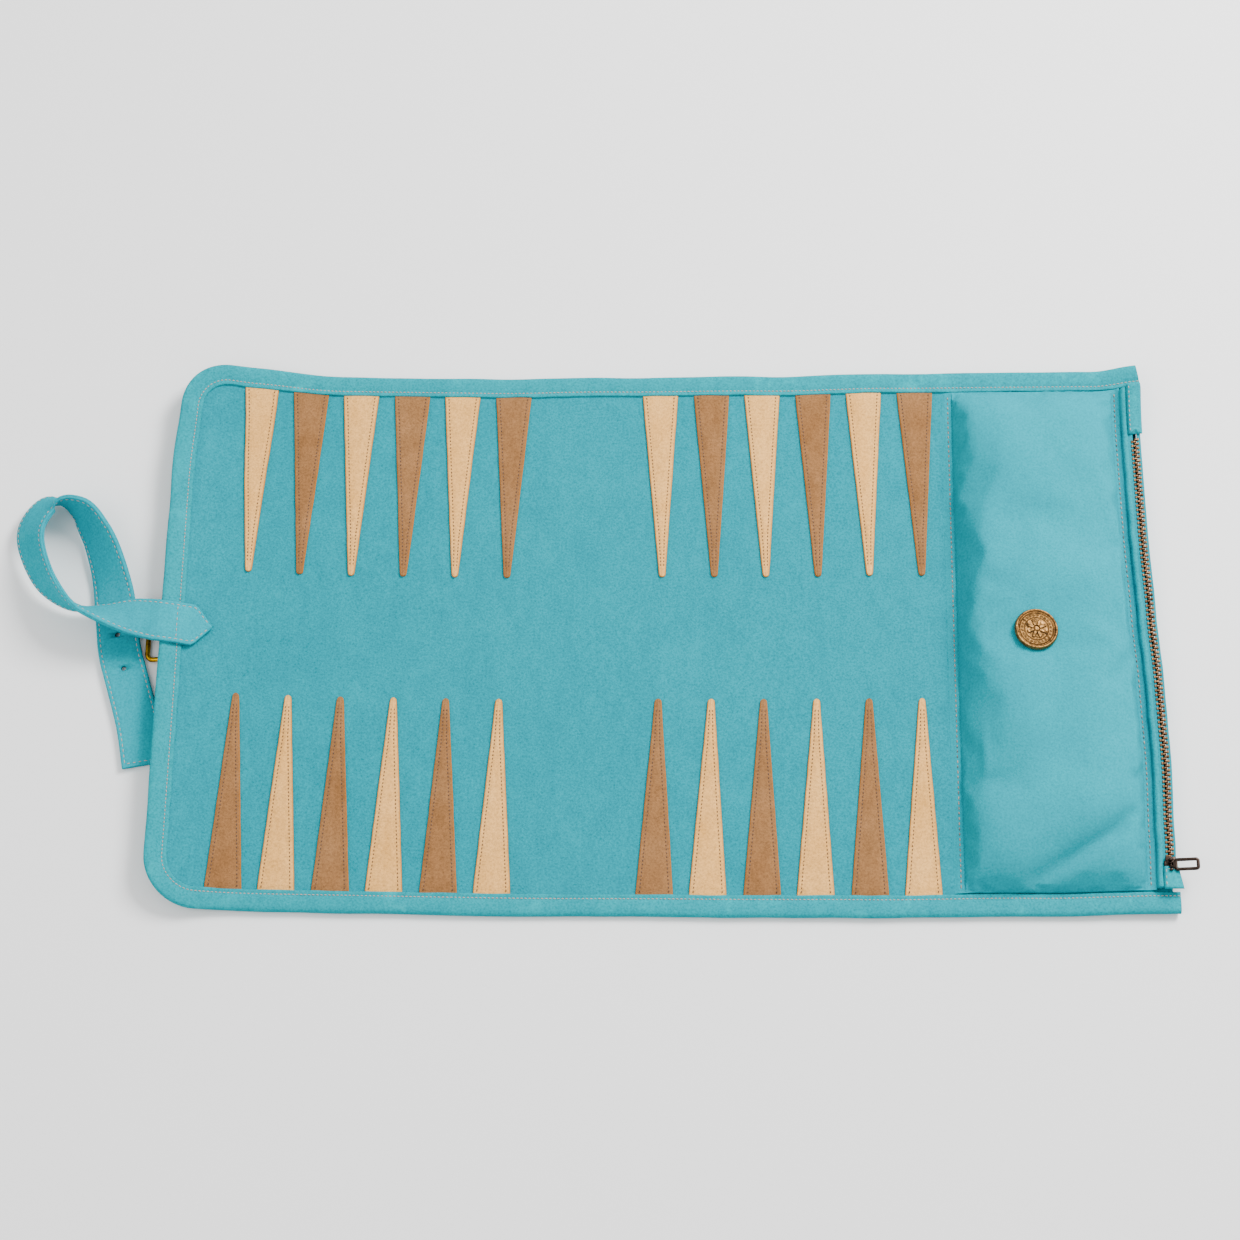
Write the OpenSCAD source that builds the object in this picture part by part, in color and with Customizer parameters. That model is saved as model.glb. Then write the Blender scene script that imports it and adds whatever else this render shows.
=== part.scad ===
// Roll-up backgammon mat with a zipped pocket, sewn points, strap and buckle.
// Millimetres. X runs along the mat from the strap end to the zip end, Z is up.

/* [Mat] */
// Length of the mat
mat_length = 550; // [400:5:700]
// Width of the mat
mat_width = 318; // [240:2:400]
// Thickness of the lining layer
lining_t = 1.0; // [0.6:0.1:2]
// Thickness of the playing face
face_t = 1.4; // [0.8:0.1:2.5]
// Thickness of sewn-on pieces and of the binding
applique_t = 1.2; // [0.8:0.1:2]
// Visible width of the edge binding
binding_w = 12; // [8:0.5:18]
// Corner radius at the strap end
corner_r = 28; // [10:1:50]
// Gap between neighbouring panels at a fold line
fold_gap = 0.3; // [0.2:0.05:1]
// Upward curl of the first column beside the end margin, degrees
curl_inner = 5; // [0:0.5:10]
// Further upward curl of the end margin, degrees
curl_outer = 9; // [0:0.5:15]

/* [Points] */
// Distance between neighbouring columns of points
column_pitch = 28.8; // [24:0.1:34]
// Width of the plain margin at the strap end
end_margin = 30.2; // [20:0.1:45]
// Width of the plain bar between the two halves
bar_w = 56.6; // [30:0.1:80]
// Length of a point from the binding to its tip
point_len = 111; // [80:1:130]
// Width of a point at its base
point_w = 20.5; // [14:0.5:27]
// Diameter of the rounded tip
point_tip_d = 3.8; // [2:0.2:8]

/* [Pocket] */
// Height of the filled pocket above the table
pocket_h = 26; // [16:1:40]
// Thickness of the pocket front
pocket_t = 1.4; // [1:0.1:2.5]
// Left edge of the pocket front, from the strap end
pocket_x0 = 437.5; // [420:0.5:460]
// Width of the pocket front up to its folded lip
pocket_w = 99.6; // [80:0.2:120]
// Slant of the zip edge, degrees
zip_slant = 1.35; // [0:0.05:3]

/* [Zip] */
// Distance between neighbouring teeth of one row
tooth_pitch = 2.6; // [2:0.1:4]
// Number of teeth in each row
tooth_count = 94; // [40:1:110]
// Distance of the chain from the strap end
chain_x = 544.2; // [540:0.1:560]
// Height of the middle of the chain
chain_z = 7.2; // [5:0.1:12]

/* [Strap and buckle] */
// Width of the strap
strap_w = 23.6; // [16:0.2:30]
// Thickness of the two-ply strap
strap_t = 3.0; // [2:0.1:5]
// Outer width of the buckle frame
buckle_w = 36; // [26:1:46]
// Distance between the two bars of the buckle frame
buckle_l = 16; // [12:1:32]
// Wire diameter of the buckle frame
buckle_wire = 2.8; // [2:0.1:4]

/* [Playing pieces] */
// Diameter of a checker
checker_d = 25; // [18:0.5:28]
// Thickness of a checker
checker_h = 7.6; // [5:0.2:9]
// Edge of a die
die_a = 12; // [9:0.5:16]
// Edge of the doubling cube
cube_a = 16; // [14:0.5:20]

/* [Hidden] */
$fn = 48;

half_l = mat_length / 2;
half_w = mat_width / 2;
face_top = lining_t + face_t;
top_z = face_top + applique_t;
inner_w = half_w - binding_w;
half_gap = fold_gap / 2;
pitch = column_pitch;
x1 = end_margin;
x7 = x1 + 6 * pitch;
x9 = x7 + bar_w;
pocket_x1 = pocket_x0 + pocket_w;
chain_y1 = 116;
chain_y0 = chain_y1 - tooth_count * tooth_pitch;
clear = 0.02;
turq = [0.05, 0.66, 0.70];
turq_dark = [0.04, 0.55, 0.60];
sand = [0.80, 0.66, 0.48];
brown = [0.62, 0.44, 0.30];
brass = [0.66, 0.54, 0.33];

// shift of the slanted zip edge at distance y from the middle of the mat
function slant_at(y) = -y * tan(zip_slant);

// turns the zip's pieces to the slanted edge
module slanted() {
  translate([chain_x - half_l, 0, 0]) rotate([0, 0, zip_slant]) translate([half_l - chain_x, 0, 0]) children();
}

// x of the fold line on the strap side of column k
function fold_x(k) = k < 7 ? x1 + (k - 1) * pitch : x9 + (k - 7) * pitch;
function column_x(k) = fold_x(k) + pitch / 2;

// everything drawn inside is placed with x measured from the strap end
module from_end() {
  translate([-half_l, 0, 0]) children();
}

// tilts its children up about the fold line at distance x
module curl_about(x, a) {
  translate([x - half_l, 0, top_z]) rotate([0, a, 0]) translate([half_l - x, 0, -top_z]) children();
}

module curled_01() {
  curl_about(fold_x(2), curl_inner) children();
}

module curled_end() {
  curled_01() curl_about(x1, curl_outer) children();
}

// C-shaped binding along one long edge; side is 1 or -1
module edge_binding(xa, xb, side) {
  color(turq_dark)
  from_end()
  translate([xb, 0, 0])
  rotate([90, 0, -90])
  linear_extrude(xb - xa)
  polygon([
    [-side * inner_w, 0],
    [-side * half_w, 0],
    [-side * half_w, top_z],
    [-side * inner_w, top_z],
    [-side * inner_w, face_top],
    [-side * (half_w - 1), face_top],
    [-side * (half_w - 1), lining_t],
    [-side * inner_w, lining_t]
  ]);
}

// one stretch of the mat between two fold lines
module panel(xa, xb) {
  a = xa + half_gap;
  b = xb - half_gap;
  color(turq_dark)
  from_end()
  translate([a, -inner_w + clear, 0]) cube([b - a, 2 * (inner_w - clear), lining_t]);
  color(turq)
  from_end()
  translate([a, -half_w + 1 + clear, lining_t]) cube([b - a, 2 * (half_w - 1 - clear), face_t]);
  edge_binding(a, b, 1);
  edge_binding(a, b, -1);
}

// flat outline of the end margin, inset from the mat's edge
module end_outline(inset, xb) {
  r = corner_r - inset;
  intersection() {
    union() {
      translate([corner_r, -half_w + inset]) square([60, 2 * (half_w - inset)]);
      translate([inset, -half_w + corner_r]) square([60, 2 * (half_w - corner_r)]);
      translate([corner_r, half_w - corner_r]) circle(r, $fn = 72);
      translate([corner_r, -half_w + corner_r]) circle(r, $fn = 72);
    }
    translate([-5, -half_w - 5]) square([xb + 5, 2 * half_w + 10]);
  }
}

module panel_end() {
  xb = x1 - half_gap;
  curled_end() {
    color(turq_dark)
    from_end()
    linear_extrude(lining_t) end_outline(binding_w + clear, xb);
    color(turq)
    from_end()
    translate([0, 0, lining_t])
    linear_extrude(face_t) end_outline(1 + clear, xb);
    color(turq_dark)
    from_end()
    difference() {
      linear_extrude(top_z) end_outline(0, xb);
      translate([0, 0, lining_t]) linear_extrude(face_t) end_outline(1, xb + 5);
      translate([0, 0, -1]) linear_extrude(top_z + 2) end_outline(binding_w, xb + 5);
    }
  }
}

module panel_01() {
  curled_01() panel(x1, fold_x(2));
}

module panel_left() {
  panel(fold_x(2), fold_x(5));
}

module panel_05() {
  panel(fold_x(5), fold_x(6));
}

module panel_06() {
  panel(fold_x(6), x7);
}

module panel_centre() {
  panel(x7, fold_x(11));
}

module panel_11() {
  panel(fold_x(11), fold_x(12));
}

// stretch of the mat under the pocket, cut off along the slanted zip edge
module panel_pocket() {
  xb = pocket_x1 + 9.0;
  intersection() {
    panel(fold_x(12), mat_length + 10);
    from_end()
    translate([0, 0, -2])
    linear_extrude(10)
    polygon([
      [fold_x(12), -half_w - 5],
      [xb + slant_at(-half_w - 5), -half_w - 5],
      [xb + slant_at(half_w + 5), half_w + 5],
      [fold_x(12), half_w + 5]
    ]);
  }
}

// one sewn-on point with a rounded tip; side is 1 for the far row
module point_shape(k, side, tone) {
  r = point_tip_d / 2;
  tip_y = point_len - r;
  color(tone)
  from_end()
  translate([column_x(k), side * (inner_w - clear), face_top])
  rotate([0, 0, side > 0 ? 180 : 0])
  linear_extrude(applique_t) {
    polygon([
      [-point_w / 2, 0],
      [point_w / 2, 0],
      [0.9 * r, tip_y],
      [-0.9 * r, tip_y]
    ]);
    translate([0, tip_y]) circle(r);
  }
}

module point_pair_first(side, tone) {
  curled_01() point_shape(1, side, tone);
}

module point_t01() {
  point_pair_first(1, sand);
}

module point_b01() {
  point_pair_first(-1, brown);
}

module point_t02() {
  point_shape(2, 1, brown);
}

module point_t03() {
  point_shape(3, 1, sand);
}

module point_t04() {
  point_shape(4, 1, brown);
}

module point_t05() {
  point_shape(5, 1, sand);
}

module point_t06() {
  point_shape(6, 1, brown);
}

module point_t07() {
  point_shape(7, 1, sand);
}

module point_t08() {
  point_shape(8, 1, brown);
}

module point_t09() {
  point_shape(9, 1, sand);
}

module point_t10() {
  point_shape(10, 1, brown);
}

module point_t11() {
  point_shape(11, 1, sand);
}

module point_t12() {
  point_shape(12, 1, brown);
}

module point_b02() {
  point_shape(2, -1, sand);
}

module point_b03() {
  point_shape(3, -1, brown);
}

module point_b04() {
  point_shape(4, -1, sand);
}

module point_b05() {
  point_shape(5, -1, brown);
}

module point_b06() {
  point_shape(6, -1, sand);
}

module point_b07() {
  point_shape(7, -1, brown);
}

module point_b08() {
  point_shape(8, -1, sand);
}

module point_b09() {
  point_shape(9, -1, brown);
}

module point_b10() {
  point_shape(10, -1, sand);
}

module point_b11() {
  point_shape(11, -1, brown);
}

module point_b12() {
  point_shape(12, -1, sand);
}

// height of the pocket's outer skin; u and v run from -1 to 1 over the pocket
function bulge_u(u) = pow(max(0, 1 - pow(abs(u), 3.4)), 0.62);
function bulge_v(v) = pow(max(0, 1 - pow(abs(v), 9)), 0.75);
function bulge_z(u, v) = top_z + 0.4 + (pocket_h - top_z - 0.4) * bulge_u(u) * bulge_v(v);

pocket_nu = 22;
pocket_nv = 34;
pocket_cx = (pocket_x0 + pocket_x1) / 2 - half_l;
pocket_hy = inner_w - 0.3;

function edge_ease(t) = sin(90 * t);
function skin_pt(i, j, drop) =
  let (u = edge_ease(2 * i / pocket_nu - 1), v = edge_ease(2 * j / pocket_nv - 1))
  let (y = v * (pocket_hy - drop * 0.8))
  [pocket_cx + u * (pocket_w / 2 - drop * 0.8) + slant_at(y) * (u + 1) / 2, y, bulge_z(u, v) - drop];

module pocket_front() {
  row = pocket_nv + 1;
  count = (pocket_nu + 1) * row;
  outer = [for (i = [0:pocket_nu]) for (j = [0:pocket_nv]) skin_pt(i, j, 0)];
  inner = [for (i = [0:pocket_nu]) for (j = [0:pocket_nv]) skin_pt(i, j, pocket_t)];
  tops = [
    for (i = [0:pocket_nu - 1]) for (j = [0:pocket_nv - 1]) for (h = [0, 1])
    h == 0
    ? [i * row + j, i * row + j + 1, (i + 1) * row + j]
    : [i * row + j + 1, (i + 1) * row + j + 1, (i + 1) * row + j]
  ];
  unders = [for (f = tops) [count + f[0], count + f[2], count + f[1]]];
  rim = concat(
    [for (i = [0:pocket_nu - 1]) i * row],
    [for (j = [0:pocket_nv - 1]) pocket_nu * row + j],
    [for (i = [pocket_nu:-1:1]) i * row + pocket_nv],
    [for (j = [pocket_nv:-1:1]) j]
  );
  n = len(rim);
  sides = [
    for (k = [0:n - 1]) for (h = [0, 1])
    h == 0
    ? [rim[k], rim[(k + 1) % n], count + rim[k]]
    : [rim[(k + 1) % n], count + rim[(k + 1) % n], count + rim[k]]
  ];
  color(turq)
  polyhedron(points = concat(outer, inner), faces = concat(tops, unders, sides));
}

// sewn edge strips that hold the pocket front: strap side and the folded lip beside the zip
module pocket_lip() {
  color(turq_dark)
  from_end()
  translate([pocket_x0 - 3.4, -inner_w + 0.3, face_top])
  cube([3.2, 2 * (inner_w - 0.3), 1.5]);
  color(turq)
  slanted()
  from_end()
  translate([pocket_x1 + 0.25, inner_w - 0.8, 0])
  rotate([90, 0, 0])
  linear_extrude(2 * (inner_w - 0.8))
  polygon([
    [0, 3.2],
    [2.6, 4.4],
    [3.4, 7.6],
    [2.6, 8.8],
    [0.6, 8.0],
    [0.0, 6.0]
  ]);
}

module zip_tape_front() {
  color(turq)
  slanted()
  from_end()
  translate([pocket_x1 + 3.75, -inner_w + 4, chain_z - 0.3])
  cube([chain_x - pocket_x1 - 5.4, 2 * inner_w - 8, 0.6]);
}

module zip_tape_back() {
  xa = chain_x + 1.6 + 0.05;
  xb = chain_x + 3.4;
  color(turq)
  slanted()
  from_end()
  translate([0, inner_w - 4, 0])
  rotate([90, 0, 0])
  linear_extrude(2 * inner_w - 8)
  polygon([
    [xa, chain_z - 0.3],
    [xb - 0.8, chain_z - 0.3],
    [xb - 0.8, top_z + 0.15],
    [xb, top_z + 0.15],
    [xb, chain_z + 0.3],
    [xa, chain_z + 0.3]
  ]);
}

// one row of metal teeth; side is -1 for the row on the pocket front
module tooth_row(side) {
  start = side > 0 ? tooth_pitch / 2 : 0;
  color(brass)
  slanted()
  from_end()
  for (i = [0:tooth_count - 1])
    translate([chain_x + side * 0.55, chain_y0 + start + i * tooth_pitch, chain_z])
    cube([2.1, 1.1, 1.9], center = true);
}

module zip_teeth_front() {
  tooth_row(-1);
}

module zip_teeth_back() {
  tooth_row(1);
}

// leather tabs folded over both ends of the zip
module zip_tabs() {
  color(turq_dark)
  slanted()
  from_end()
  for (s = [-1, 1])
    translate([pocket_x1 + 3.75, 0, 0])
    translate([0, s > 0 ? 118.2 : -inner_w + 0.3, chain_z + 1.2])
    cube([chain_x - pocket_x1 + 0.2, s > 0 ? inner_w - 118.5 : 12, 1.4]);
}

// slider body with two lugs and a cross pin, at the closed end of the chain
module zip_slider() {
  color(brass)
  slanted()
  from_end()
  translate([chain_x, chain_y0 + 1, chain_z]) {
    translate([-3.35, -4.5, 1.3]) cube([7.3, 9, 1.2]);
    translate([-3.35, -4.5, 0.5]) cube([0.95, 9, 0.81]);
    translate([2.4, -4.5, 0.5]) cube([1.0, 9, 0.81]);
    translate([-0.9, -3.4, 2.5]) cube([1.8, 1.4, 2.6]);
    translate([-0.9, 2.0, 2.5]) cube([1.8, 1.4, 2.6]);
    translate([0, 2.05, 3.8]) rotate([90, 0, 0]) cylinder(h = 4.1, d = 1.0, $fn = 24);
  }
}

// open frame of the pull; its knuckle turns on the slider's pin
module zip_pull() {
  pull_w = 6.6;
  pull_l = 15;
  color(brass)
  slanted()
  from_end()
  translate([chain_x, chain_y0 + 1, chain_z + 3.8])
  rotate([0, -8, 0]) {
    difference() {
      union() {
        translate([0, 1.9, 0]) rotate([90, 0, 0]) cylinder(h = 3.8, d = 2.4, $fn = 32);
        translate([0.5, -1.9, -0.65]) cube([1.9, 3.8, 1.3]);
      }
      translate([0, 5, 0]) rotate([90, 0, 0]) cylinder(h = 10, d = 1.16, $fn = 24);
    }
    difference() {
      translate([1.9, -pull_w / 2, -0.65]) cube([pull_l - 2, pull_w, 1.3]);
      translate([3.4, -pull_w / 2 + 1.5, -2]) cube([pull_l - 5, pull_w - 3, 4]);
    }
  }
}

medal_x = 204;
medal_y = -4.6;

// domed disc with a raised rim, a ring of beads and a plain star
module medallion() {
  color(brass)
  translate([medal_x, medal_y, pocket_h + 0.35]) {
    rotate_extrude($fn = 72)
    polygon([
      [0, 0],
      [11.2, 0],
      [12, 0.6],
      [12, 1.6],
      [11.2, 2.2],
      [10.2, 1.7],
      [9.6, 1.3],
      [0, 1.3]
    ]);
    for (a = [0:30:330])
      rotate([0, 0, a]) translate([8.2, 0, 1.3]) cylinder(h = 0.5, d = 1.2, $fn = 20);
    for (a = [0:45:315])
      rotate([0, 0, a])
      translate([0, 0, 1.3])
      linear_extrude(0.7)
      polygon([[0.6, -0.8], [5.8, 0], [0.6, 0.8]]);
    translate([0, 0, 1.3]) cylinder(h = 1.1, d = 3.2, $fn = 30);
  }
}

module medallion_washer() {
  color(brass)
  translate([medal_x, medal_y, pocket_h - pocket_t - 1.2])
  difference() {
    cylinder(h = 0.7, d = 15);
    translate([0, 0, -1]) cylinder(h = 3, d = 4);
  }
}

// pointed end of the strap, sewn on the playing face
module strap_anchor() {
  h = strap_w / 2;
  color(turq)
  curled_end()
  from_end()
  translate([0, 0, top_z + clear])
  linear_extrude(strap_t)
  polygon([[0, -h], [16, -h], [24.5, -h + 6], [28, 0], [24.5, h - 6], [16, h], [0, h]]);
}

// stations along the free strap: [one edge], [other edge]
strap_a = [
  [-288, -6, 18.5], [-304, -2, 25], [-318, 7, 27], [-331, 24, 26],
  [-338, 42, 24.5], [-338, 57, 22], [-329, 68, 21], [-315, 65, 20],
  [-304, 52, 18], [-296, 37, 15], [-291, 19, 8.5], [-288, 2, 4.5],
  [-286, -14, 2.5], [-280, -34, 2], [-273, -57, 2], [-268, -74, 2]
];
strap_b = [
  [-290, 13.5, 12.5], [-309, 13.5, 6.5], [-328, 14.5, 4.5], [-346, 26, 4.5],
  [-357, 46.5, 4.5], [-358, 62, 4.5], [-347.5, 75, 4.5], [-333, 70.5, 4],
  [-323.5, 57, 3.5], [-317.5, 40, 3], [-313.5, 25, 2.5], [-310.5, 5, 2],
  [-307, -12, 2], [-301, -30, 2], [-294.5, -51, 2], [-290, -80, 2]
];
strap_n = len(strap_a);

function mixed(p, q, t) = p * (1 - t) + q * t;
function across(k) = (strap_b[k] - strap_a[k]) / norm(strap_b[k] - strap_a[k]);
function mid_pt(k) = (strap_a[k] + strap_b[k]) / 2;
function edge_a(k) = mid_pt(k) - across(k) * strap_w / 2;
function edge_b(k) = mid_pt(k) + across(k) * strap_w / 2;
function first_a() = strap_root() + [0, -strap_w / 2, 0];
function first_b() = strap_root() + [0, strap_w / 2, 0];
function rot_y(p, a) = [p[0] * cos(a) + p[2] * sin(a), p[1], -p[0] * sin(a) + p[2] * cos(a)];
function about(p, c, a) = c + rot_y(p - c, a);
// middle of the strap's thickness just outside the mat's edge, after the curl
function strap_root() =
  let (p = [-half_l - 0.6, 0, top_z + strap_t / 2])
  let (q = about(p, [x1 - half_l, 0, top_z], curl_outer))
  about(q, [fold_x(2) - half_l, 0, top_z], curl_inner);
function line_a(k) = k == 0 ? first_a() : edge_a(k - 1);
function line_b(k) = k == 0 ? first_b() : edge_b(k - 1);
// smooth curve through the stations
function through(p0, p1, p2, p3, t) =
  0.5 * ((2 * p1) + (p2 - p0) * t + (2 * p0 - 5 * p1 + 4 * p2 - p3) * t * t
  + (3 * p1 - p0 - 3 * p2 + p3) * t * t * t);
function clampk(k) = max(0, min(strap_n, k));
function on_a(k, t) = through(line_a(clampk(k - 1)), line_a(k), line_a(clampk(k + 1)), line_a(clampk(k + 2)), t);
function on_b(k, t) = through(line_b(clampk(k - 1)), line_b(k), line_b(clampk(k + 1)), line_b(clampk(k + 2)), t);
strap_sub = 3;
ribbon_a = [for (k = [0:strap_n - 1]) for (s = [0:strap_sub - 1]) on_a(k, s / strap_sub), line_a(strap_n)];
ribbon_b = [for (k = [0:strap_n - 1]) for (s = [0:strap_sub - 1]) on_b(k, s / strap_sub), line_b(strap_n)];
ribbon_n = len(ribbon_a);
function unit(v) = v / norm(v);
function ribbon_mid(i) = (ribbon_a[i] + ribbon_b[i]) / 2;
function along(i) = unit(ribbon_mid(min(ribbon_n - 1, i + 1)) - ribbon_mid(max(0, i - 1)));
function normal(i) = i == 0 ? rot_y([0, 0, 1], curl_inner + curl_outer)
  : unit(cross(unit(ribbon_b[i] - ribbon_a[i]), along(i)));

module strap_loop() {
  ring = [
    for (i = [0:ribbon_n - 1]) for (c = [0:3])
    (c < 2 ? ribbon_a[i] : ribbon_b[i])
    + normal(i) * strap_t / 2 * (c == 0 || c == 3 ? 1 : -1)
  ];
  skins = [
    for (i = [0:ribbon_n - 2]) for (c = [0:3]) for (h = [0, 1])
    h == 0
    ? [4 * i + c, 4 * (i + 1) + c, 4 * i + (c + 1) % 4]
    : [4 * i + (c + 1) % 4, 4 * (i + 1) + c, 4 * (i + 1) + (c + 1) % 4]
  ];
  e = 4 * (ribbon_n - 1);
  caps = [[0, 1, 2], [0, 2, 3], [e, e + 2, e + 1], [e, e + 3, e + 2]];
  color(turq)
  polyhedron(points = ring, faces = concat(skins, caps));
}

buckle_x = 10;
buckle_z = -2.9;
buckle_droop = 25.4;
loop_r = 2.8;

// strip sewn under the edge; its end is a sleeve round the buckle's bar
module buckle_tab() {
  color(turq_dark)
  curled_end()
  from_end()
  difference() {
    union() {
      translate([buckle_x, -9, -1.6]) cube([22, 18, 1.58]);
      translate([buckle_x, 9, buckle_z]) rotate([90, 0, 0]) cylinder(h = 18, r = loop_r, $fn = 40);
    }
    translate([buckle_x, 20, buckle_z]) rotate([90, 0, 0]) cylinder(h = 40, d = buckle_wire + 0.16, $fn = 40);
    translate([buckle_x - 6, -2, buckle_z - 6]) cube([10.5, 4, 12]);
  }
}

// rectangle with rounded corners, centred on y, from x = xa to x = xb
module soft_rect(xa, xb, w, r) {
  translate([xa + r, -w / 2]) square([xb - xa - 2 * r, w]);
  translate([xa, -w / 2 + r]) square([xb - xa, w - 2 * r]);
  for (x = [xa + r, xb - r]) for (y = [-w / 2 + r, w / 2 - r])
    translate([x, y]) circle(r);
}

// closed brass frame that turns on its inner bar
module buckle_frame() {
  w = buckle_w;
  d = buckle_wire;
  color(brass)
  curled_end()
  from_end()
  translate([buckle_x, 0, buckle_z])
  rotate([0, -buckle_droop, 0]) {
    translate([0, w / 2 - d - 0.01, 0]) rotate([90, 0, 0]) cylinder(h = w - 2 * d - 0.02, d = d, $fn = 40);
    translate([0, 0, -d / 2])
    linear_extrude(d)
    difference() {
      soft_rect(-buckle_l - d / 2, d / 2, w, 4);
      soft_rect(-buckle_l + d / 2, d * 2, w - 2 * d, 1.4);
    }
  }
}

// prong with a curl round the frame's bar
module buckle_prong() {
  d = buckle_wire;
  color(brass)
  curled_end()
  from_end()
  translate([buckle_x, 0, buckle_z])
  rotate([0, -buckle_droop, 0]) {
    difference() {
      rotate([90, 0, 0]) translate([0, 0, -1.5]) cylinder(h = 3, d = d + 2.2, $fn = 40);
      rotate([90, 0, 0]) translate([0, 0, -3]) cylinder(h = 6, d = d + 0.16, $fn = 40);
    }
    translate([-buckle_l - 1.0, -1.0, d / 2 + 0.1]) cube([buckle_l + 1.0, 2.0, 0.95]);
  }
}

// rounded-edge playing piece with a shallow dish
module checker(tone) {
  r = checker_d / 2;
  h = checker_h;
  color(tone)
  rotate_extrude($fn = 48)
  polygon([[0, 0], [r - 1, 0], [r, 1], [r, h - 1], [r - 1, h], [r - 4, h], [r - 5, h - 0.8], [0, h - 0.8]]);
}

store_z = face_top + 0.1;
store_pitch = checker_d + 0.5;

module checker_layer(level, tone) {
  for (i = [-1:1]) for (j = [-2:2])
    translate([pocket_cx + i * store_pitch, -20 + j * store_pitch, store_z + level * (checker_h + 0.2)])
    checker(tone);
}

module checkers_light() {
  checker_layer(1, [0.93, 0.88, 0.78]);
}

module checkers_dark() {
  checker_layer(0, [0.25, 0.17, 0.12]);
}

module dice() {
  color([0.95, 0.93, 0.88])
  for (i = [-1.5:1.5])
    translate([pocket_cx + i * (die_a + 3) - die_a / 2, 62, store_z]) cube(die_a);
}

module doubling_cube() {
  color([0.95, 0.93, 0.88])
  translate([pocket_cx - cube_a / 2, 86, store_z]) cube(cube_a);
}

panel_end();
panel_01();
panel_left();
panel_05();
panel_06();
panel_centre();
panel_11();
panel_pocket();
point_t01();
point_t02();
point_t03();
point_t04();
point_t05();
point_t06();
point_t07();
point_t08();
point_t09();
point_t10();
point_t11();
point_t12();
point_b01();
point_b02();
point_b03();
point_b04();
point_b05();
point_b06();
point_b07();
point_b08();
point_b09();
point_b10();
point_b11();
point_b12();
pocket_front();
pocket_lip();
zip_tape_front();
zip_tape_back();
zip_teeth_front();
zip_teeth_back();
zip_tabs();
zip_slider();
zip_pull();
medallion();
medallion_washer();
strap_anchor();
strap_loop();
buckle_tab();
buckle_frame();
buckle_prong();
checkers_light();
checkers_dark();
dice();
doubling_cube();
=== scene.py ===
import math
import random

import bmesh
import bpy
from mathutils import Matrix, Vector, noise


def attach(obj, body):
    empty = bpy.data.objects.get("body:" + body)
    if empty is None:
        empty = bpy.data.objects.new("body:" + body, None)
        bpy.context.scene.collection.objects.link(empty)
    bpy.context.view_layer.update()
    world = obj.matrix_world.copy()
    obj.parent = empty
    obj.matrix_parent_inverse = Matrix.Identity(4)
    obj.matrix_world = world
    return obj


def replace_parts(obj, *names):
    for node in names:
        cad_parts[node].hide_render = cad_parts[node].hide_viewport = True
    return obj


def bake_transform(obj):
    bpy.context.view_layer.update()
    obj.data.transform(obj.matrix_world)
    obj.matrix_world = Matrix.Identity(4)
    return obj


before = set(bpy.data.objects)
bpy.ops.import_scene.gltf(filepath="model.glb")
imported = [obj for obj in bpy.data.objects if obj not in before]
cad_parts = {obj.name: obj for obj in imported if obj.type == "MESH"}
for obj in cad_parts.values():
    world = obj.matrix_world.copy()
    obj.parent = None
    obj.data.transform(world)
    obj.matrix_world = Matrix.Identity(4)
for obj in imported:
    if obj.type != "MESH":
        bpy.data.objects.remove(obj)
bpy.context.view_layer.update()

MM = 0.001
rng = random.Random(7)

# ---------------------------------------------------------------- layout, mm
HALF_L, HALF_W = 275.0, 159.0
FACE_Z, TOP_Z = 2.4, 3.6
BIND_W = 12.0
CORNER_R = 28.0
PITCH, MARGIN, BAR = 28.8, 30.2, 56.6
POINT_LEN, POINT_W, TIP_D = 111.0, 20.5, 3.8
SLANT_DEG = 1.35
SLANT = math.tan(math.radians(SLANT_DEG))
MEDAL_X, MEDAL_Y = 204.0, -4.6
CH = 269.2  # x of the zip chain at y = 0
X2 = MARGIN + PITCH - HALF_L


def fold_x(k):
    return (MARGIN + (k - 1) * PITCH if k < 7 else MARGIN + 6 * PITCH + BAR + (k - 7) * PITCH) - HALF_L


FOLDS = [  # x of each fold line, body on the strap side, body on the pocket side
    (fold_x(5), "strap_half", "fold_strip_05"),
    (fold_x(6), "fold_strip_05", "fold_strip_06"),
    (MARGIN + 6 * PITCH - HALF_L, "fold_strip_06", "mat_centre"),
    (fold_x(11), "mat_centre", "fold_strip_11"),
    (fold_x(12), "fold_strip_11", "pocket"),
]


def lerp_table(x, table):
    xs, ys = zip(*table)
    if x <= xs[0]:
        return ys[0]
    for i in range(len(xs) - 1):
        if x <= xs[i + 1]:
            t = (x - xs[i]) / (xs[i + 1] - xs[i])
            t = t * t * (3 - 2 * t)
            return ys[i] + (ys[i + 1] - ys[i]) * t
    return ys[-1]


# how far the far and near edges stray in y and how far they lift, along x
FAR_EDGE = (
    (-275, 1), (-229, -1.6), (-180, -4), (-100, -4.0), (-30, -2),
    (60, -0.4), (130, 2), (200, 3.2), (245, 3.6), (275, 6.0),
)
NEAR_EDGE = ((-275, 2), (-200, 1.2), (-80, 0.8), (20, 1.6), (110, 2.4), (200, 4.4), (275, 6.6))
FAR_LIFT = ((-275, 3), (-240, 5), (-190, 0.4), (-60, 0), (60, 0.8), (170, 2), (240, 4), (275, 9))
NEAR_LIFT = ((-275, 1), (-220, 0.5), (0, 0), (200, 0.5), (275, 1.6))

# how far the zip end bows in x, along y
SIDE_BOW = ((-150, 0.2), (-115, 1.5), (-75, 2.8), (-30, 2.4), (10, 1.0), (60, 0.0), (150, 0.0))


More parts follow.
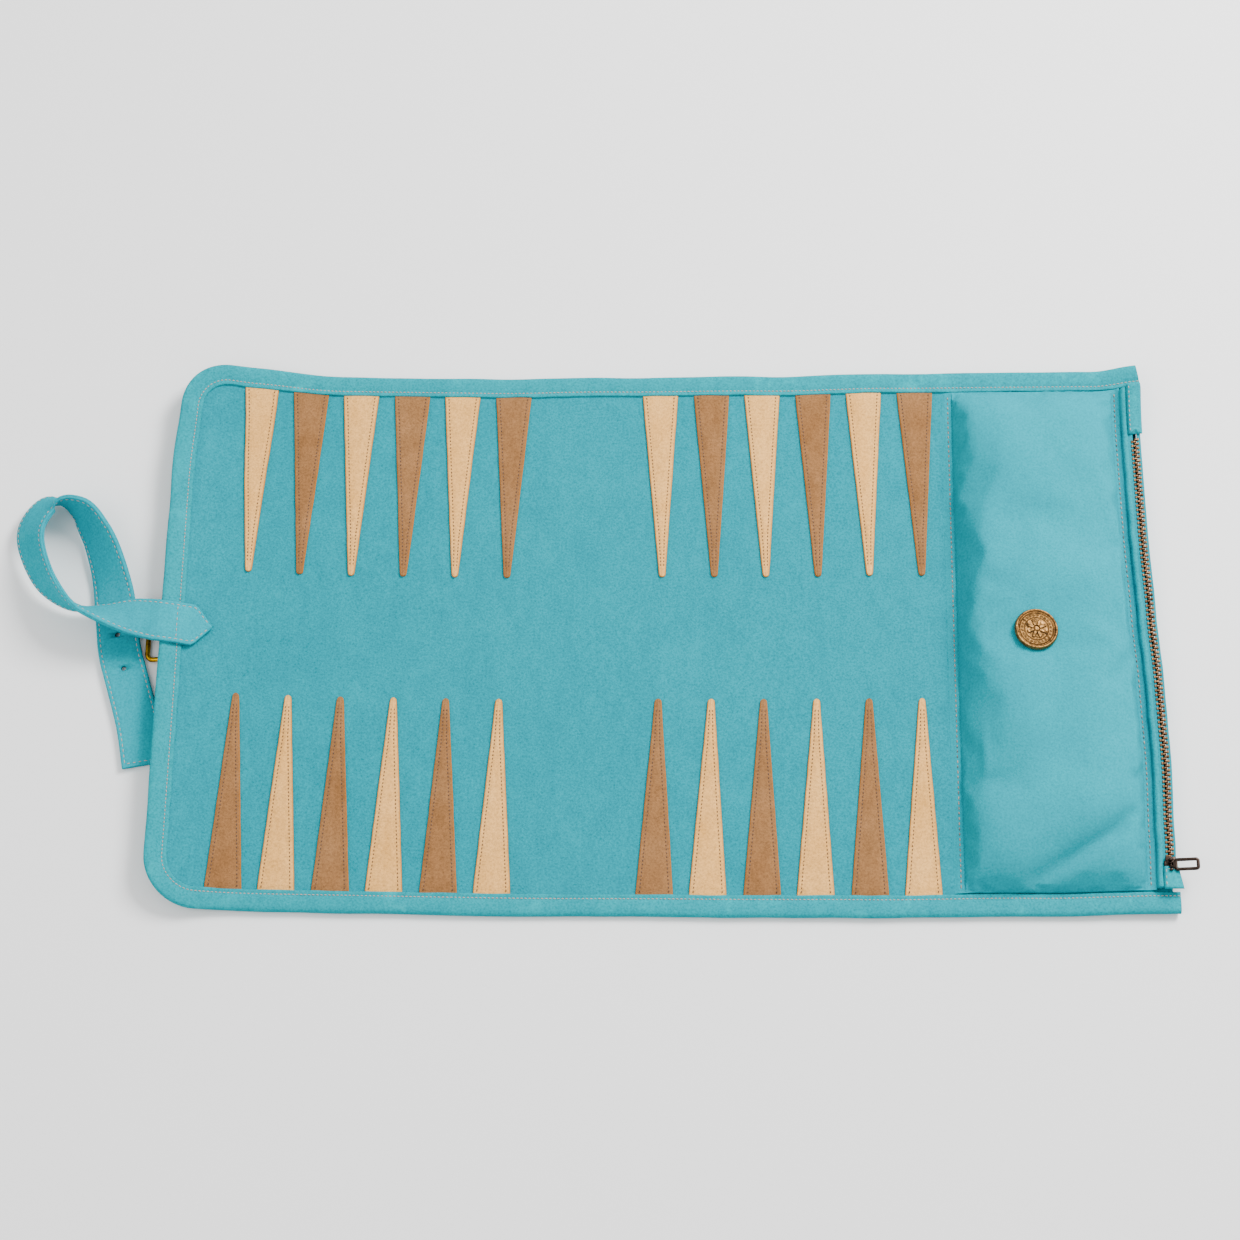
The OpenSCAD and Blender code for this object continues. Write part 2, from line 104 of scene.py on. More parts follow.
def smooth01(t):
    t = min(1.0, max(0.0, t))
    return t * t * (3 - 2 * t)


def curl(x):
    d = max(0.0, X2 - x)
    return 0.00303 * d * d


def lie(x, y, z):
    """Where a point of the flat pattern lies on the table, mm in and metres out."""
    v = min(1.15, max(-0.15, (y + HALF_W) / (2 * HALF_W)))
    dy = lerp_table(x, NEAR_EDGE) * (1 - v) + lerp_table(x, FAR_EDGE) * v
    far = smooth01((y - 105) / 54)
    near = smooth01((-y - 115) / 44)
    up = lerp_table(x, FAR_LIFT) * far * far + lerp_table(x, NEAR_LIFT) * near
    up += 0.5 * max(0.0, noise.noise(Vector((x / 70, y / 60, 1.3)))) * (1 - smooth01((x - 150) / 20))
    dx = 0.0
    if x > 150:
        dx = smooth01((x - 215) / 50) * lerp_table(y, SIDE_BOW)
        dx -= 3.0 * smooth01((x - 235) / 40) * smooth01((y - 143) / 18)
    if x < -200:
        dx = smooth01((-x - 200) / 75) * (1.3 + 2.8 * smooth01((y - 85) / 60))
    return Vector(((x + dx) * MM, (y + dy) * MM, (z + curl(x) + up) * MM))


# ---------------------------------------------------------------- materials
SATURATE = 1.35


def rgb(r, g, b, k=0.62):
    """A colour as it looks, made deeper by k because the view transform pales it."""

    def lin(c):
        c /= 255
        return c / 12.92 if c <= 0.04045 else ((c + 0.055) / 1.055) ** 2.4

    c = [lin(v) for v in (r, g, b)]
    y = 0.2126 * c[0] + 0.7152 * c[1] + 0.0722 * c[2]
    return tuple(max(0.0, k * (y + SATURATE * (v - y))) for v in c) + (1,)


def new_mat(name):
    m = bpy.data.materials.new(name)
    m.use_nodes = True
    nt = m.node_tree
    return m, nt, nt.nodes["Principled BSDF"]


def add(nt, kind, **values):
    n = nt.nodes.new(kind)
    for k, v in values.items():
        if k in n.inputs:
            n.inputs[k].default_value = v
        else:
            setattr(n, k, v)
    return n


def ramp(nt, fac, stops):
    n = nt.nodes.new("ShaderNodeValToRGB")
    e = n.color_ramp.elements
    while len(e) < len(stops):
        e.new(0.5)
    for s, (p, c) in zip(e, stops):
        s.position, s.color = p, c
    nt.links.new(fac, n.inputs["Fac"])
    return n.outputs["Color"]


def mix(nt, kind, fac, a, b):
    n = nt.nodes.new("ShaderNodeMix")
    n.data_type, n.blend_type = "RGBA", kind
    for sock, v in ((n.inputs[0], fac), (n.inputs[6], a), (n.inputs[7], b)):
        if hasattr(v, "links"):
            nt.links.new(v, sock)
        else:
            sock.default_value = v
    return n.outputs[2]


def suede(name, dark, base, light, nap=1.0, bump=0.5, edge=None, grain=1.0, scuff=None):
    """Brushed leather: mottled nap, fine fibre bump and a soft sheen."""
    m, nt, b = new_mat(name)
    L = nt.links.new
    co = add(nt, "ShaderNodeTexCoord").outputs["Object"]
    broad = add(nt, "ShaderNodeTexNoise", Scale=28.0, Detail=3.0, Roughness=0.55)
    mid = add(nt, "ShaderNodeTexNoise", Scale=160.0, Detail=4.0, Roughness=0.65)
    stretch = add(nt, "ShaderNodeMapping")
    stretch.inputs["Scale"].default_value = (1.0, 0.45, 1.0)
    fine = add(nt, "ShaderNodeTexNoise", Scale=900.0 * grain, Detail=5.0, Roughness=0.75)
    L(co, broad.inputs["Vector"])
    L(co, stretch.inputs["Vector"])
    L(stretch.outputs["Vector"], mid.inputs["Vector"])
    L(co, fine.inputs["Vector"])
    c1 = ramp(nt, broad.outputs["Fac"], ((0.3, base), (0.7, light)))
    c2 = ramp(nt, mid.outputs["Fac"], ((0.3, dark), (0.62, base)))
    c = mix(nt, "MIX", 0.5 * nap, c1, c2)
    stops = ((0.32, (0.55, 0.55, 0.55, 1)), (0.5, (1, 1, 1, 1)), (0.68, (1.35, 1.35, 1.35, 1)))
    speck = ramp(nt, fine.outputs["Fac"], stops)
    c = mix(nt, "MULTIPLY", 0.75 * nap, c, speck)
    if scuff is not None:
        worn = add(nt, "ShaderNodeTexNoise", Scale=70.0, Detail=7.0, Roughness=0.75)
        L(co, worn.inputs["Vector"])
        rubbed = ramp(nt, worn.outputs["Fac"], ((0.56, (0, 0, 0, 1)), (0.78, (0.75, 0.75, 0.75, 1))))
        c = mix(nt, "MIX", rubbed, c, scuff)
    if edge is not None:
        att = add(nt, "ShaderNodeAttribute", attribute_name="edge")
        c = mix(nt, "MIX", att.outputs["Fac"], c, edge)
    L(c, b.inputs["Base Color"])
    b.inputs["Roughness"].default_value = 0.92
    b.inputs["Specular IOR Level"].default_value = 0.03
    b.inputs["Sheen Weight"].default_value = 0.03
    b.inputs["Sheen Roughness"].default_value = 0.5
    b.inputs["Sheen Tint"].default_value = light
    h = mix(nt, "MIX", 0.35, fine.outputs["Fac"], mid.outputs["Fac"])
    bp = add(nt, "ShaderNodeBump", Strength=bump, Distance=0.0006)
    L(h, bp.inputs["Height"])
    L(bp.outputs["Normal"], b.inputs["Normal"])
    return m


def metal(name, bright, dark, rough=0.35, scale=400.0):
    m, nt, b = new_mat(name)
    L = nt.links.new
    co = add(nt, "ShaderNodeTexCoord").outputs["Object"]
    n1 = add(nt, "ShaderNodeTexNoise", Scale=scale, Detail=6.0, Roughness=0.7)
    n2 = add(nt, "ShaderNodeTexNoise", Scale=scale * 5, Detail=4.0, Roughness=0.7)
    L(co, n1.inputs["Vector"])
    L(co, n2.inputs["Vector"])
    c = ramp(nt, n1.outputs["Fac"], ((0.32, dark), (0.55, bright)))
    grime = ramp(nt, n2.outputs["Fac"], ((0.3, (0.5, 0.45, 0.4, 1)), (0.6, (1, 1, 1, 1))))
    c = mix(nt, "MULTIPLY", 0.5, c, grime)
    # painted shade: the AO node darkens the base colour in hollows and tight gaps
    ao = add(nt, "ShaderNodeAmbientOcclusion", Distance=0.0012)
    L(c, ao.inputs["Color"])
    L(ao.outputs["Color"], b.inputs["Base Color"])
    b.inputs["Metallic"].default_value = 1.0
    r = ramp(nt, n1.outputs["Fac"], ((0.3, (rough + 0.3,) * 3 + (1,)), (0.65, (rough,) * 3 + (1,))))
    L(r, b.inputs["Roughness"])
    bp = add(nt, "ShaderNodeBump", Strength=0.25, Distance=0.0002)
    L(n2.outputs["Fac"], bp.inputs["Height"])
    L(bp.outputs["Normal"], b.inputs["Normal"])
    return m


def thread(name, a, b_):
    m, nt, b = new_mat(name)
    co = add(nt, "ShaderNodeTexCoord").outputs["Object"]
    n1 = add(nt, "ShaderNodeTexNoise", Scale=700.0, Detail=3.0)
    nt.links.new(co, n1.inputs["Vector"])
    nt.links.new(ramp(nt, n1.outputs["Fac"], ((0.35, a), (0.65, b_))), b.inputs["Base Color"])
    b.inputs["Roughness"].default_value = 0.75
    b.inputs["Sheen Weight"].default_value = 0.3
    return m


def gloss(name, dark, light):
    m, nt, b = new_mat(name)
    co = add(nt, "ShaderNodeTexCoord").outputs["Object"]
    n1 = add(nt, "ShaderNodeTexNoise", Scale=90.0, Detail=5.0, Distortion=1.5)
    nt.links.new(co, n1.inputs["Vector"])
    nt.links.new(ramp(nt, n1.outputs["Fac"], ((0.3, dark), (0.7, light))), b.inputs["Base Color"])
    b.inputs["Roughness"].default_value = 0.22
    b.inputs["Coat Weight"].default_value = 0.3
    return m


TURQ = suede(
    "suede_turquoise",
    rgb(0, 158, 172, 0.48), rgb(0, 178, 192, 0.48), rgb(4, 190, 203, 0.48),
    scuff=rgb(30, 188, 200, 0.56),
)
BINDING = suede(
    "suede_binding",
    rgb(4, 165, 178, 0.5), rgb(6, 186, 197, 0.5), rgb(18, 196, 206, 0.5),
    scuff=rgb(96, 206, 212, 0.7),
)
LINING = suede(
    "suede_lining",
    rgb(0, 140, 152, 0.47), rgb(0, 162, 174, 0.47), rgb(4, 176, 188, 0.47),
    bump=0.3,
)
POCKET = suede(
    "suede_pocket",
    rgb(0, 172, 186, 0.52), rgb(0, 186, 200, 0.52), rgb(2, 196, 209, 0.52),
    nap=0.7,
)
EDGE_TAN = rgb(214, 150, 98)
SAND = suede(
    "suede_sand",
    rgb(200, 154, 106, 0.84), rgb(222, 176, 126, 0.88), rgb(234, 192, 144, 0.9),
    edge=EDGE_TAN,
)
BROWN = suede(
    "suede_brown",
    rgb(132, 98, 72, 0.56), rgb(164, 124, 94, 0.58), rgb(190, 150, 118, 0.6),
    edge=rgb(196, 132, 84, 0.6), bump=0.8,
)
TAPE = suede(
    "zip_tape_weave",
    rgb(0, 150, 165, 0.47), rgb(0, 180, 194, 0.47), rgb(8, 198, 210, 0.47),
    bump=0.6, grain=2.0,
)
STRAP = suede(
    "suede_strap",
    rgb(0, 160, 174, 0.6), rgb(0, 178, 192, 0.6), rgb(4, 192, 204, 0.6),
    nap=0.8, scuff=rgb(70, 200, 208, 0.6),
)
BRASS = metal("brass_antique", rgb(178, 142, 104, 0.6), rgb(48, 38, 30, 0.5), rough=0.4)
BRASS_TEETH = metal("brass_teeth", rgb(150, 122, 100, 0.5), rgb(58, 44, 36, 0.45), rough=0.35)
BUCKLE_BRASS = metal("brass_buckle", rgb(226, 180, 96), rgb(120, 84, 44), rough=0.25)
GUN = metal("gunmetal", rgb(96, 84, 78, 0.45), rgb(26, 22, 20, 0.45), rough=0.25)
THREAD_LIGHT = thread("thread_light", rgb(176, 178, 172), rgb(214, 196, 188))
THREAD_MIX = thread("thread_mixed", rgb(84, 96, 98), rgb(206, 190, 178))
THREAD_POINT = thread("thread_point", rgb(66, 46, 34), rgb(116, 84, 62))
CHECK_L = gloss("checker_light", rgb(224, 206, 168), rgb(244, 232, 204))
CHECK_D = gloss("checker_dark", rgb(44, 24, 16), rgb(78, 44, 28))
DICE = gloss("dice_ivory", rgb(236, 228, 210), rgb(248, 244, 232))


# ---------------------------------------------------------------- mesh tools
def make(name, verts, faces, mat, smooth=True, attrs=None):
    me = bpy.data.meshes.new(name)
    me.from_pydata([tuple(v) for v in verts], [], faces)
    if attrs:
        for k, vals in attrs.items():
            a = me.attributes.new(k, "FLOAT", "POINT")
            a.data.foreach_set("value", [float(v) for v in vals])
    me.materials.append(mat)
    if smooth:
        me.polygons.foreach_set("use_smooth", [True] * len(me.polygons))
    me.update()
    me.set_sharp_from_angle(angle=math.radians(62))
    ob = bpy.data.objects.new(name, me)
    bpy.context.scene.collection.objects.link(ob)
    return ob


def grid_faces(nu, nv, base=0, flip=False):
    """Quads over nu rows of nv points, stored row by row."""
    out = []
    for i in range(nu - 1):
        for j in range(nv - 1):
            a, b = base + i * nv + j, base + (i + 1) * nv + j
            q = (a, b, b + 1, a + 1)
            out.append(q[::-1] if flip else q)
    return out


def add_stitch(verts, faces, p, d, up, length, r):
    """One thread stitch: a bowed capsule from p along d that dives at both ends."""
    d = d.normalized()
    side = d.cross(up).normalized()
    n, ring = 5, 6
    base = len(verts)
    for i in range(n):
        t = i / (n - 1)
        s = t * 2 - 1
        c = p + d * (s * length / 2) + up * (r * 0.75 - r * 1.3 * s * s)
        rr = r * (1 - 0.45 * s ** 4)
        for k in range(ring):
            a = 2 * math.pi * k / ring
            verts.append(c + side * (rr * math.cos(a)) + up * (rr * 0.8 * math.sin(a)))
    for i in range(n - 1):
        for k in range(ring):
            a, b = base + i * ring + k, base + i * ring + (k + 1) % ring
            faces.append((a, b, b + ring, a + ring))
    faces.append(tuple(base + k for k in range(ring))[::-1])
    faces.append(tuple(base + (n - 1) * ring + k for k in range(ring)))


def stitch_row(verts, faces, pts, ups, pitch, length, r, jitter=0.0):
    """Stitches along a polyline of points with their surface normals."""
    acc = [0.0]
    for a, b in zip(pts, pts[1:]):
        acc.append(acc[-1] + (b - a).length)
    n = int(acc[-1] / pitch)
    if n < 1:
        return
    step = acc[-1] / n
    k = 0
    for i in range(n):
        s = (i + 0.5) * step
        while k < len(acc) - 2 and acc[k + 1] < s:
            k += 1
        t = (s - acc[k]) / max(1e-9, acc[k + 1] - acc[k])
        p = pts[k].lerp(pts[k + 1], t)
        up = ups[k].lerp(ups[k + 1], t).normalized()
        d = (pts[k + 1] - pts[k]).normalized()
        side = d.cross(up)
        ang = rng.uniform(-jitter, jitter)
        d2 = (d * math.cos(ang) + side * math.sin(ang)).normalized()
        add_stitch(verts, faces, p, d2, up, length * rng.uniform(0.9, 1.06), r)


# ---------------------------------------------------------------- mat pieces
CUTS = [-HALF_L] + [(FOLDS[i][0] + FOLDS[i + 1][0]) / 2 for i in range(4)] + [HALF_L + 10]


def right_x(y):
    return 271.1 - SLANT * y


def xs_between(a, b, step=3.0):
    """Stations between two cuts, close together round the fold line between them."""
    f = [q[0] for q in FOLDS if a < q[0] < b]
    pts = {round(a, 4), round(b, 4)}
    n = max(2, int((b - a) / step))
    for i in range(1, n):
        x = a + (b - a) * i / n
        if all(abs(x - q) > 5 for q in f):
            pts.add(round(x, 4))
    for q in f:
        for k in range(-9, 10):
            pts.add(round(q + k * 0.5, 4))
    return sorted(pts)


def end_limit(x):
    """Half width of the mat at x, with the rounded corners of the strap end."""
    d = x + HALF_L
    if d >= CORNER_R:
        return HALF_W
    return HALF_W - CORNER_R + math.sqrt(max(0.0, CORNER_R ** 2 - (CORNER_R - d) ** 2))


def slab(name, a, b, first, last):
    """Face and lining of the mat between two cuts, as one closed cushion-thin slab."""
    if first:
        a = -HALF_L + 1.5
    xs = xs_between(a, b if not last else 272.0)
    if first:
        xs = sorted(set(xs + [-HALF_L + v for v in (1.5, 2.2, 3.5, 5.5, 8, 11, 14, 18, 22, 26)]))
    ts = [i / 78 * 2 - 1 for i in range(79)]
    top, bot = [], []
    for x in xs:
        h = end_limit(x) - 1.4
        for t in ts:
            y = t * h
            xx = x
            if last and x > 200:
                xx = 200 + (x - 200) * (right_x(y) - 200) / 72.0
            dimple = 0.12 * noise.noise(Vector((xx / 9, y / 9, 4.0)))
            top.append(lie(xx, y, FACE_Z + dimple))
            bot.append(lie(xx, y, 0.05))
    nv, nu = len(ts), len(xs)
    faces = grid_faces(nu, nv) + grid_faces(nu, nv, base=nu * nv, flip=True)
    off = nu * nv
    for i in range(nu - 1):
        faces.append((i * nv, off + i * nv, off + (i + 1) * nv, (i + 1) * nv))
        e = i * nv + nv - 1
        faces.append((e, e + nv, off + e + nv, off + e))
    for j in range(nv - 1):
        e = (nu - 1) * nv + j
        faces.append((j, j + 1, off + j + 1, off + j))
        faces.append((e, off + e, off + e + 1, e + 1))
    ob = make(name, top + bot, faces, TURQ)
    ob.data.materials.append(LINING)
    n1 = (nu - 1) * (nv - 1)
    for i in range(n1, 2 * n1):
        ob.data.polygons[i].material_index = 1
    return ob


def bind_profile(wob, w=BIND_W):
    """Half-round folded strip: (distance in from the edge, height), going round."""
    return [
        (0.0, 1.9), (0.15, 2.8), (0.7, 3.6), (1.8, 4.1), (3.4, 4.25), (5.2, 4.2), (7.0, 4.05),
        (8.4, 3.8), (9.2, 3.5), (9.6, 3.42), (10.0, 3.5), (10.8, 3.72), (11.6 + wob, 3.72), (w + wob, 3.4),
        (w + 0.05 + wob, 2.3), (w - 2, 1.2), (w, 0.02), (8.0, 0.0), (4.0, 0.0), (1.4, 0.15),
        (0.4, 0.7), (0.05, 1.2),
    ]


def corner_point(t, cy):
    """A point of a rounded corner of the strap end, with the direction inward."""
    c, s = math.cos(t), math.sin(t)
    return (-HALF_L + CORNER_R + CORNER_R * c, cy + CORNER_R * s, -c, -s)


def outline(a, b, first, last, side=0):
    """Path along the mat's edge between two cuts: list of (x, y, nx, ny), n pointing inward."""
    out = []
    if first:
        for x in reversed(xs_between(-HALF_L + CORNER_R, b)):
            out.append((x, HALF_W, 0, -1))
        for i in range(1, 15):
            t = math.pi / 2 + i / 15 * math.pi / 2
            out.append(corner_point(t, HALF_W - CORNER_R))
        n = 70
        for i in range(n + 1):
            out.append((-HALF_L, (HALF_W - CORNER_R) * (1 - 2 * i / n), 1, 0))
        for i in range(1, 15):
            t = math.pi + i / 15 * math.pi / 2
            out.append(corner_point(t, CORNER_R - HALF_W))
        for x in xs_between(-HALF_L + CORNER_R, b):
            out.append((x, -HALF_W, 0, 1))
        return out
    xs = xs_between(a, b if not last else 274.6 - SLANT * HALF_W * side)
    if side > 0:
        return [(x, HALF_W, 0, -1) for x in reversed(xs)]
    return [(x, -HALF_W, 0, 1) for x in xs]


def binding(name, path):
    verts, faces = [], []
    n = len(bind_profile(0))
    for x, y, nx, ny in path:
        wob = 0.35 * noise.noise(Vector((x / 11, y / 11, 8.0)))
        puff = 1 + 0.06 * noise.noise(Vector((x / 14, y / 14, 2.0)))
        out_w = 0.5 * noise.noise(Vector((x / 30, y / 30, 5.0)))
        for s, z in bind_profile(wob):
            ss = s + out_w * (1 - s / 12)
            verts.append(lie(x + nx * ss, y + ny * ss, z * (puff if z > 2 else 1)))
    for i in range(len(path) - 1):
        for k in range(n):
            a, b = i * n + k, i * n + (k + 1) % n
            faces.append((a, a + n, b + n, b))
    faces.append(tuple(range(n)))
    faces.append(tuple(range((len(path) - 1) * n, len(path) * n))[::-1])
    return make(name, verts, faces, BINDING)


def binding_stitches(path, verts, faces):
    pts = [lie(x + nx * 9.6, y + ny * 9.6, 3.5) for x, y, nx, ny in path]
    ups = [Vector((0, 0, 1))] * len(pts)
    stitch_row(verts, faces, pts, ups, 2.15 * MM, 1.55 * MM, 0.27 * MM, 0.12)
    pts = [lie(x + nx * 9.6, y + ny * 9.6, -0.02) for x, y, nx, ny in path]
    stitch_row(verts, faces, pts, [Vector((0, 0, -1))] * len(pts), 2.15 * MM, 1.5 * MM, 0.12 * MM)


mat_pieces = []
for k in range(5):
    first, last = k == 0, k == 4
    a, b = CUTS[k], CUTS[k + 1]
    group = [slab(f"mat_face_{k}", a, b, first, last)]
    sides = (0,) if first else (1, -1)
    paths = [outline(a, b, first, last, side) for side in sides]
    sv, sf = [], []
    for i, p in enumerate(paths):
        group.append(binding(f"mat_binding_{k}_{i}", p))
        binding_stitches(p, sv, sf)
    group.append(make(f"mat_binding_stitches_{k}", sv, sf, THREAD_LIGHT))
    for ob in group:
        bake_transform(ob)
    mat_pieces.append(group)
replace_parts(mat_pieces[0][0], "panel_end", "panel_01", "panel_left")
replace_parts(mat_pieces[1][0], "panel_05")
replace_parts(mat_pieces[2][0], "panel_06")
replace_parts(mat_pieces[3][0], "panel_centre")
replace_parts(mat_pieces[4][0], "panel_11", "panel_pocket")


# ---------------------------------------------------------------- points
BODY_OF_COLUMN = {
    1: "strap_half", 2: "strap_half", 3: "strap_half", 4: "strap_half",
    5: "fold_strip_05", 6: "fold_strip_06",
    7: "mat_centre", 8: "mat_centre", 9: "mat_centre", 10: "mat_centre",
    11: "fold_strip_11", 12: "pocket",
}

# sideways drift of a point at its base and its tip, by side and half of the board
DRIFT = {(1, 0): (2.2, 1.2), (-1, 0): (-1.8, -1.2), (1, 1): (0.2, 2.2), (-1, 1): (-0.8, 0.6)}


def point_piece(k, side):
    cx = fold_x(k) + PITCH / 2
    sand = (k % 2 == 1) == (side > 0)
    base_y = HALF_W - BIND_W + 2.5
    n_len = 46
    seed = k * 3.1 + side
    verts, edge, rows, faces = [], [], [], []
    r = TIP_D / 2
    total = POINT_LEN + 2.5

    def half(s):
        w = POINT_W / 2 + (r - POINT_W / 2) * (s / (total - r))
        if s > total - r:
            w = math.sqrt(max(0.0, r * r - (s - (total - r)) ** 2))
        return w

    base_dx, tip_dx = DRIFT[(side, 1 if k > 6 else 0)]

    def shift(s):
        return base_dx + (tip_dx - base_dx) * s / total

    stations = [total * i / n_len for i in range(n_len)]
    stations += [total - r * q for q in (0.55, 0.25, 0.08, 0.0)]
    stations = sorted(set(round(s, 4) for s in stations))
    # rings across: bottom edge, side, rounded shoulder, groove of the stitches, pillow
    for s in stations:
        h = max(0.05, half(s))
        wav = 0.16 * noise.noise(Vector((s / 9, seed, 0)))
        lean = 0.5 * math.sin(s / 60 + seed)
        inset = min(2.2, h * 0.62)
        prof = [
            (-h, 0.0, 1.0), (-h, 0.7, 1.0), (-h + min(0.25, h * 0.2), 1.12, 0.75),
            (-h + min(0.7, h * 0.4), 1.26, 0.1), (inset - h, 1.08, 0.0),
        ]
        mid = max(0.0, h - inset)
        rim_u = mid - min(0.8, mid * 0.5)
        inner = [(-rim_u, 1.26, 0.0), (-mid * 0.3, 1.34, 0.0), (mid * 0.3, 1.34, 0.0), (rim_u, 1.26, 0.0)]
        ring = prof + inner + [(-q[0], q[1], q[2]) for q in reversed(prof)]
        row = []
        for u, z, e in ring:
            side_w = wav if u < 0 else -wav
            y = side * (base_y - s)
            row.append(len(verts))
            sink = 0.72 * (1 - smooth01((s - 2.2) / 2.2))
            x = cx + shift(s) + u + (side_w if abs(u) > h * 0.9 else 0) + lean * 0.3
            verts.append(lie(x, y, FACE_Z + 0.02 + z - sink))
            edge.append(e if z < 1.2 else 0.0)
        rows.append(row)
    n = len(rows[0])
    for i in range(len(rows) - 1):
        for j in range(n - 1):
            q = (rows[i][j], rows[i][j + 1], rows[i + 1][j + 1], rows[i + 1][j])
            faces.append(q if side < 0 else q[::-1])
    # underside
    for i in range(len(rows) - 1):
        q = (rows[i][0], rows[i + 1][0], rows[i + 1][-1], rows[i][-1])
        faces.append(q if side < 0 else q[::-1])
    faces.append(tuple(rows[0]) if side > 0 else tuple(rows[0])[::-1])
    faces.append(tuple(rows[-1])[::-1] if side > 0 else tuple(rows[-1]))
    name = f"point_{'far' if side > 0 else 'near'}_{k:02d}"
    ob = make(name, verts, faces, SAND if sand else BROWN, attrs={"edge": edge})
    ride_body = BODY_OF_COLUMN[k]
    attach(ob, ride_body)
    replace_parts(ob, f"point_{'t' if side > 0 else 'b'}{k:02d}")
    sv, sf = [], []
    for w in (-1, 1):
        pts = []
        for s in [3.2 + i * (total - 6.0 - 3.2) / 30 for i in range(31)]:
            inset = min(2.2, half(s) * 0.62)
            x = cx + shift(s) + w * (half(s) - inset) + 0.15 * math.sin(s / 60 + seed)
            pts.append(lie(x, side * (base_y - s), FACE_Z + 1.14))
        stitch_row(sv, sf, pts, [Vector((0, 0, 1))] * len(pts), 2.1 * MM, 1.35 * MM, 0.26 * MM, 0.1)
    st = make(name + "_stitches", sv, sf, THREAD_POINT)
    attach(st, ride_body)
    return ob


for side in (1, -1):
    for k in range(1, 13):
        point_piece(k, side)


# ---------------------------------------------------------------- pocket front
PX0, PX1 = 164.2, 257.6
PHY = HALF_W - BIND_W - 0.6
SEAM_X = 162.0
CLOTH_CAP = 2.6 * MM  # the cloth run moves no point farther than this


def hump(d, w):
    return math.exp(-(d / w) ** 2)


def pocket_z(u, v):
    """Height of the filled pocket above the face, with its creases."""
    bu = max(0.0, 1 - abs(u) ** 4.0) ** 0.56
    bv = max(0.0, 1 - abs(v) ** 8) ** 0.75
    e = bu * bv
    x, y = 211 + 48 * u, 146 * v
    z = 21.6 * e
    d = (y + 134) - 0.62 * (x - 212)
    z -= 5.2 * e * hump(d, 6.0) * smooth01((x - 180) / 30) * (1 - smooth01((x - 240) / 14))
    z += 2.0 * e * hump(d - 17, 11.0)
    z -= 1.9 * e * hump((y - 62) + 0.35 * (x - 200), 13.0) * smooth01((x - 175) / 40)
    z -= 1.5 * e * hump((y + 78) - 0.25 * (x - 210), 14.0) * (1 - smooth01((x - 235) / 20))
    z += 3.4 * e * noise.noise(Vector((x / 30, y / 52, 3.0)))
    z += 0.35 * e * noise.noise(Vector((x / 11, y / 13, 7.0)))
    z -= 1.3 * e * hump(math.hypot(x - MEDAL_X, y - MEDAL_Y), 17.0)
    filled = 15.9 * smooth01((46.5 - abs(x - 212.8)) / 6) * smooth01((71 - abs(y + 20)) / 8)
    return (z + filled + math.sqrt((z - filled) ** 2 + 0.8)) / 2 - 0.44 * (1 - e)


def rim(x, y, z):
    """A point of the zip's edge, which runs askew to the mat."""
    return lie(x - SLANT * y, y, z)


def pocket_point(u, v):
    y = v * PHY
    x = PX0 + (PX1 - PX0) * (u + 1) / 2 - SLANT * y * (u + 1) / 2
    return lie(x, y, TOP_Z + 0.35 + pocket_z(u, v))


def pocket_rows():
    """Columns across the pocket: the sewn flange, the filled middle, the other flange."""
    flange = ((158.6, 2.46), (159.4, 2.75), (160.3, 3.2), (161.3, 3.6), (162.0, 3.5), (162.9, 3.95))
    cols = [lambda v, q=q, z=z: lie(q, v * PHY, z) for q, z in flange]
    for i in range(49):
        u = math.sin((i / 48 - 0.5) * math.pi)
        cols.append(lambda v, u=u: pocket_point(u, v))
    for q, z in ((258.6, 4.0), (259.4, 3.8), (260.3, 4.3), (261.6, 4.9), (262.2, 5.0)):
        cols.append(lambda v, q=q, z=z: rim(q, v * PHY, z))
    return cols


def settle(verts, nu, nv):
    """How far a short cloth run moves the filled skin: held at its seams and pressed out from inside."""
    ob = make("pocket_cloth", verts, grid_faces(nu, nv), POCKET)
    pin = ob.vertex_groups.new(name="pin")
    stud = lie(MEDAL_X, MEDAL_Y, 0)
    held = [i * nv + j for i in range(nu) for j in range(nv) if i < 8 or i > nu - 8 or j < 3 or j > nv - 4]
    held += [i for i, v in enumerate(verts) if math.hypot(v.x - stud.x, v.y - stud.y) < 12.6 * MM]
    pin.add(held, 1.0, "REPLACE")
    md = ob.modifiers.new("cloth", "CLOTH")
    c = md.settings
    c.quality, c.mass, c.vertex_group_mass = 6, 0.15, "pin"
    c.tension_stiffness = c.compression_stiffness = 14
    c.shear_stiffness, c.bending_stiffness = 6, 7.0
    c.shrink_min = c.shrink_max = -0.014
    c.use_pressure, c.uniform_pressure_force = True, 1.0
    c.effector_weights.gravity = 0
    md.collision_settings.use_collision = False
    md.point_cache.frame_start, md.point_cache.frame_end = 1, 22
    sc = bpy.context.scene
    for f in range(1, 23):
        sc.frame_set(f)
    co = ob.evaluated_get(bpy.context.evaluated_depsgraph_get()).data.vertices
    out = []
    for a, b in zip(verts, co):
        d = b.co - a
        far = d.length
        out.append(d * (CLOTH_CAP * math.tanh(far / CLOTH_CAP) / far) if far > 1e-7 else Vector())
    sc.frame_set(1)
    bpy.data.objects.remove(ob, do_unlink=True)
    return out


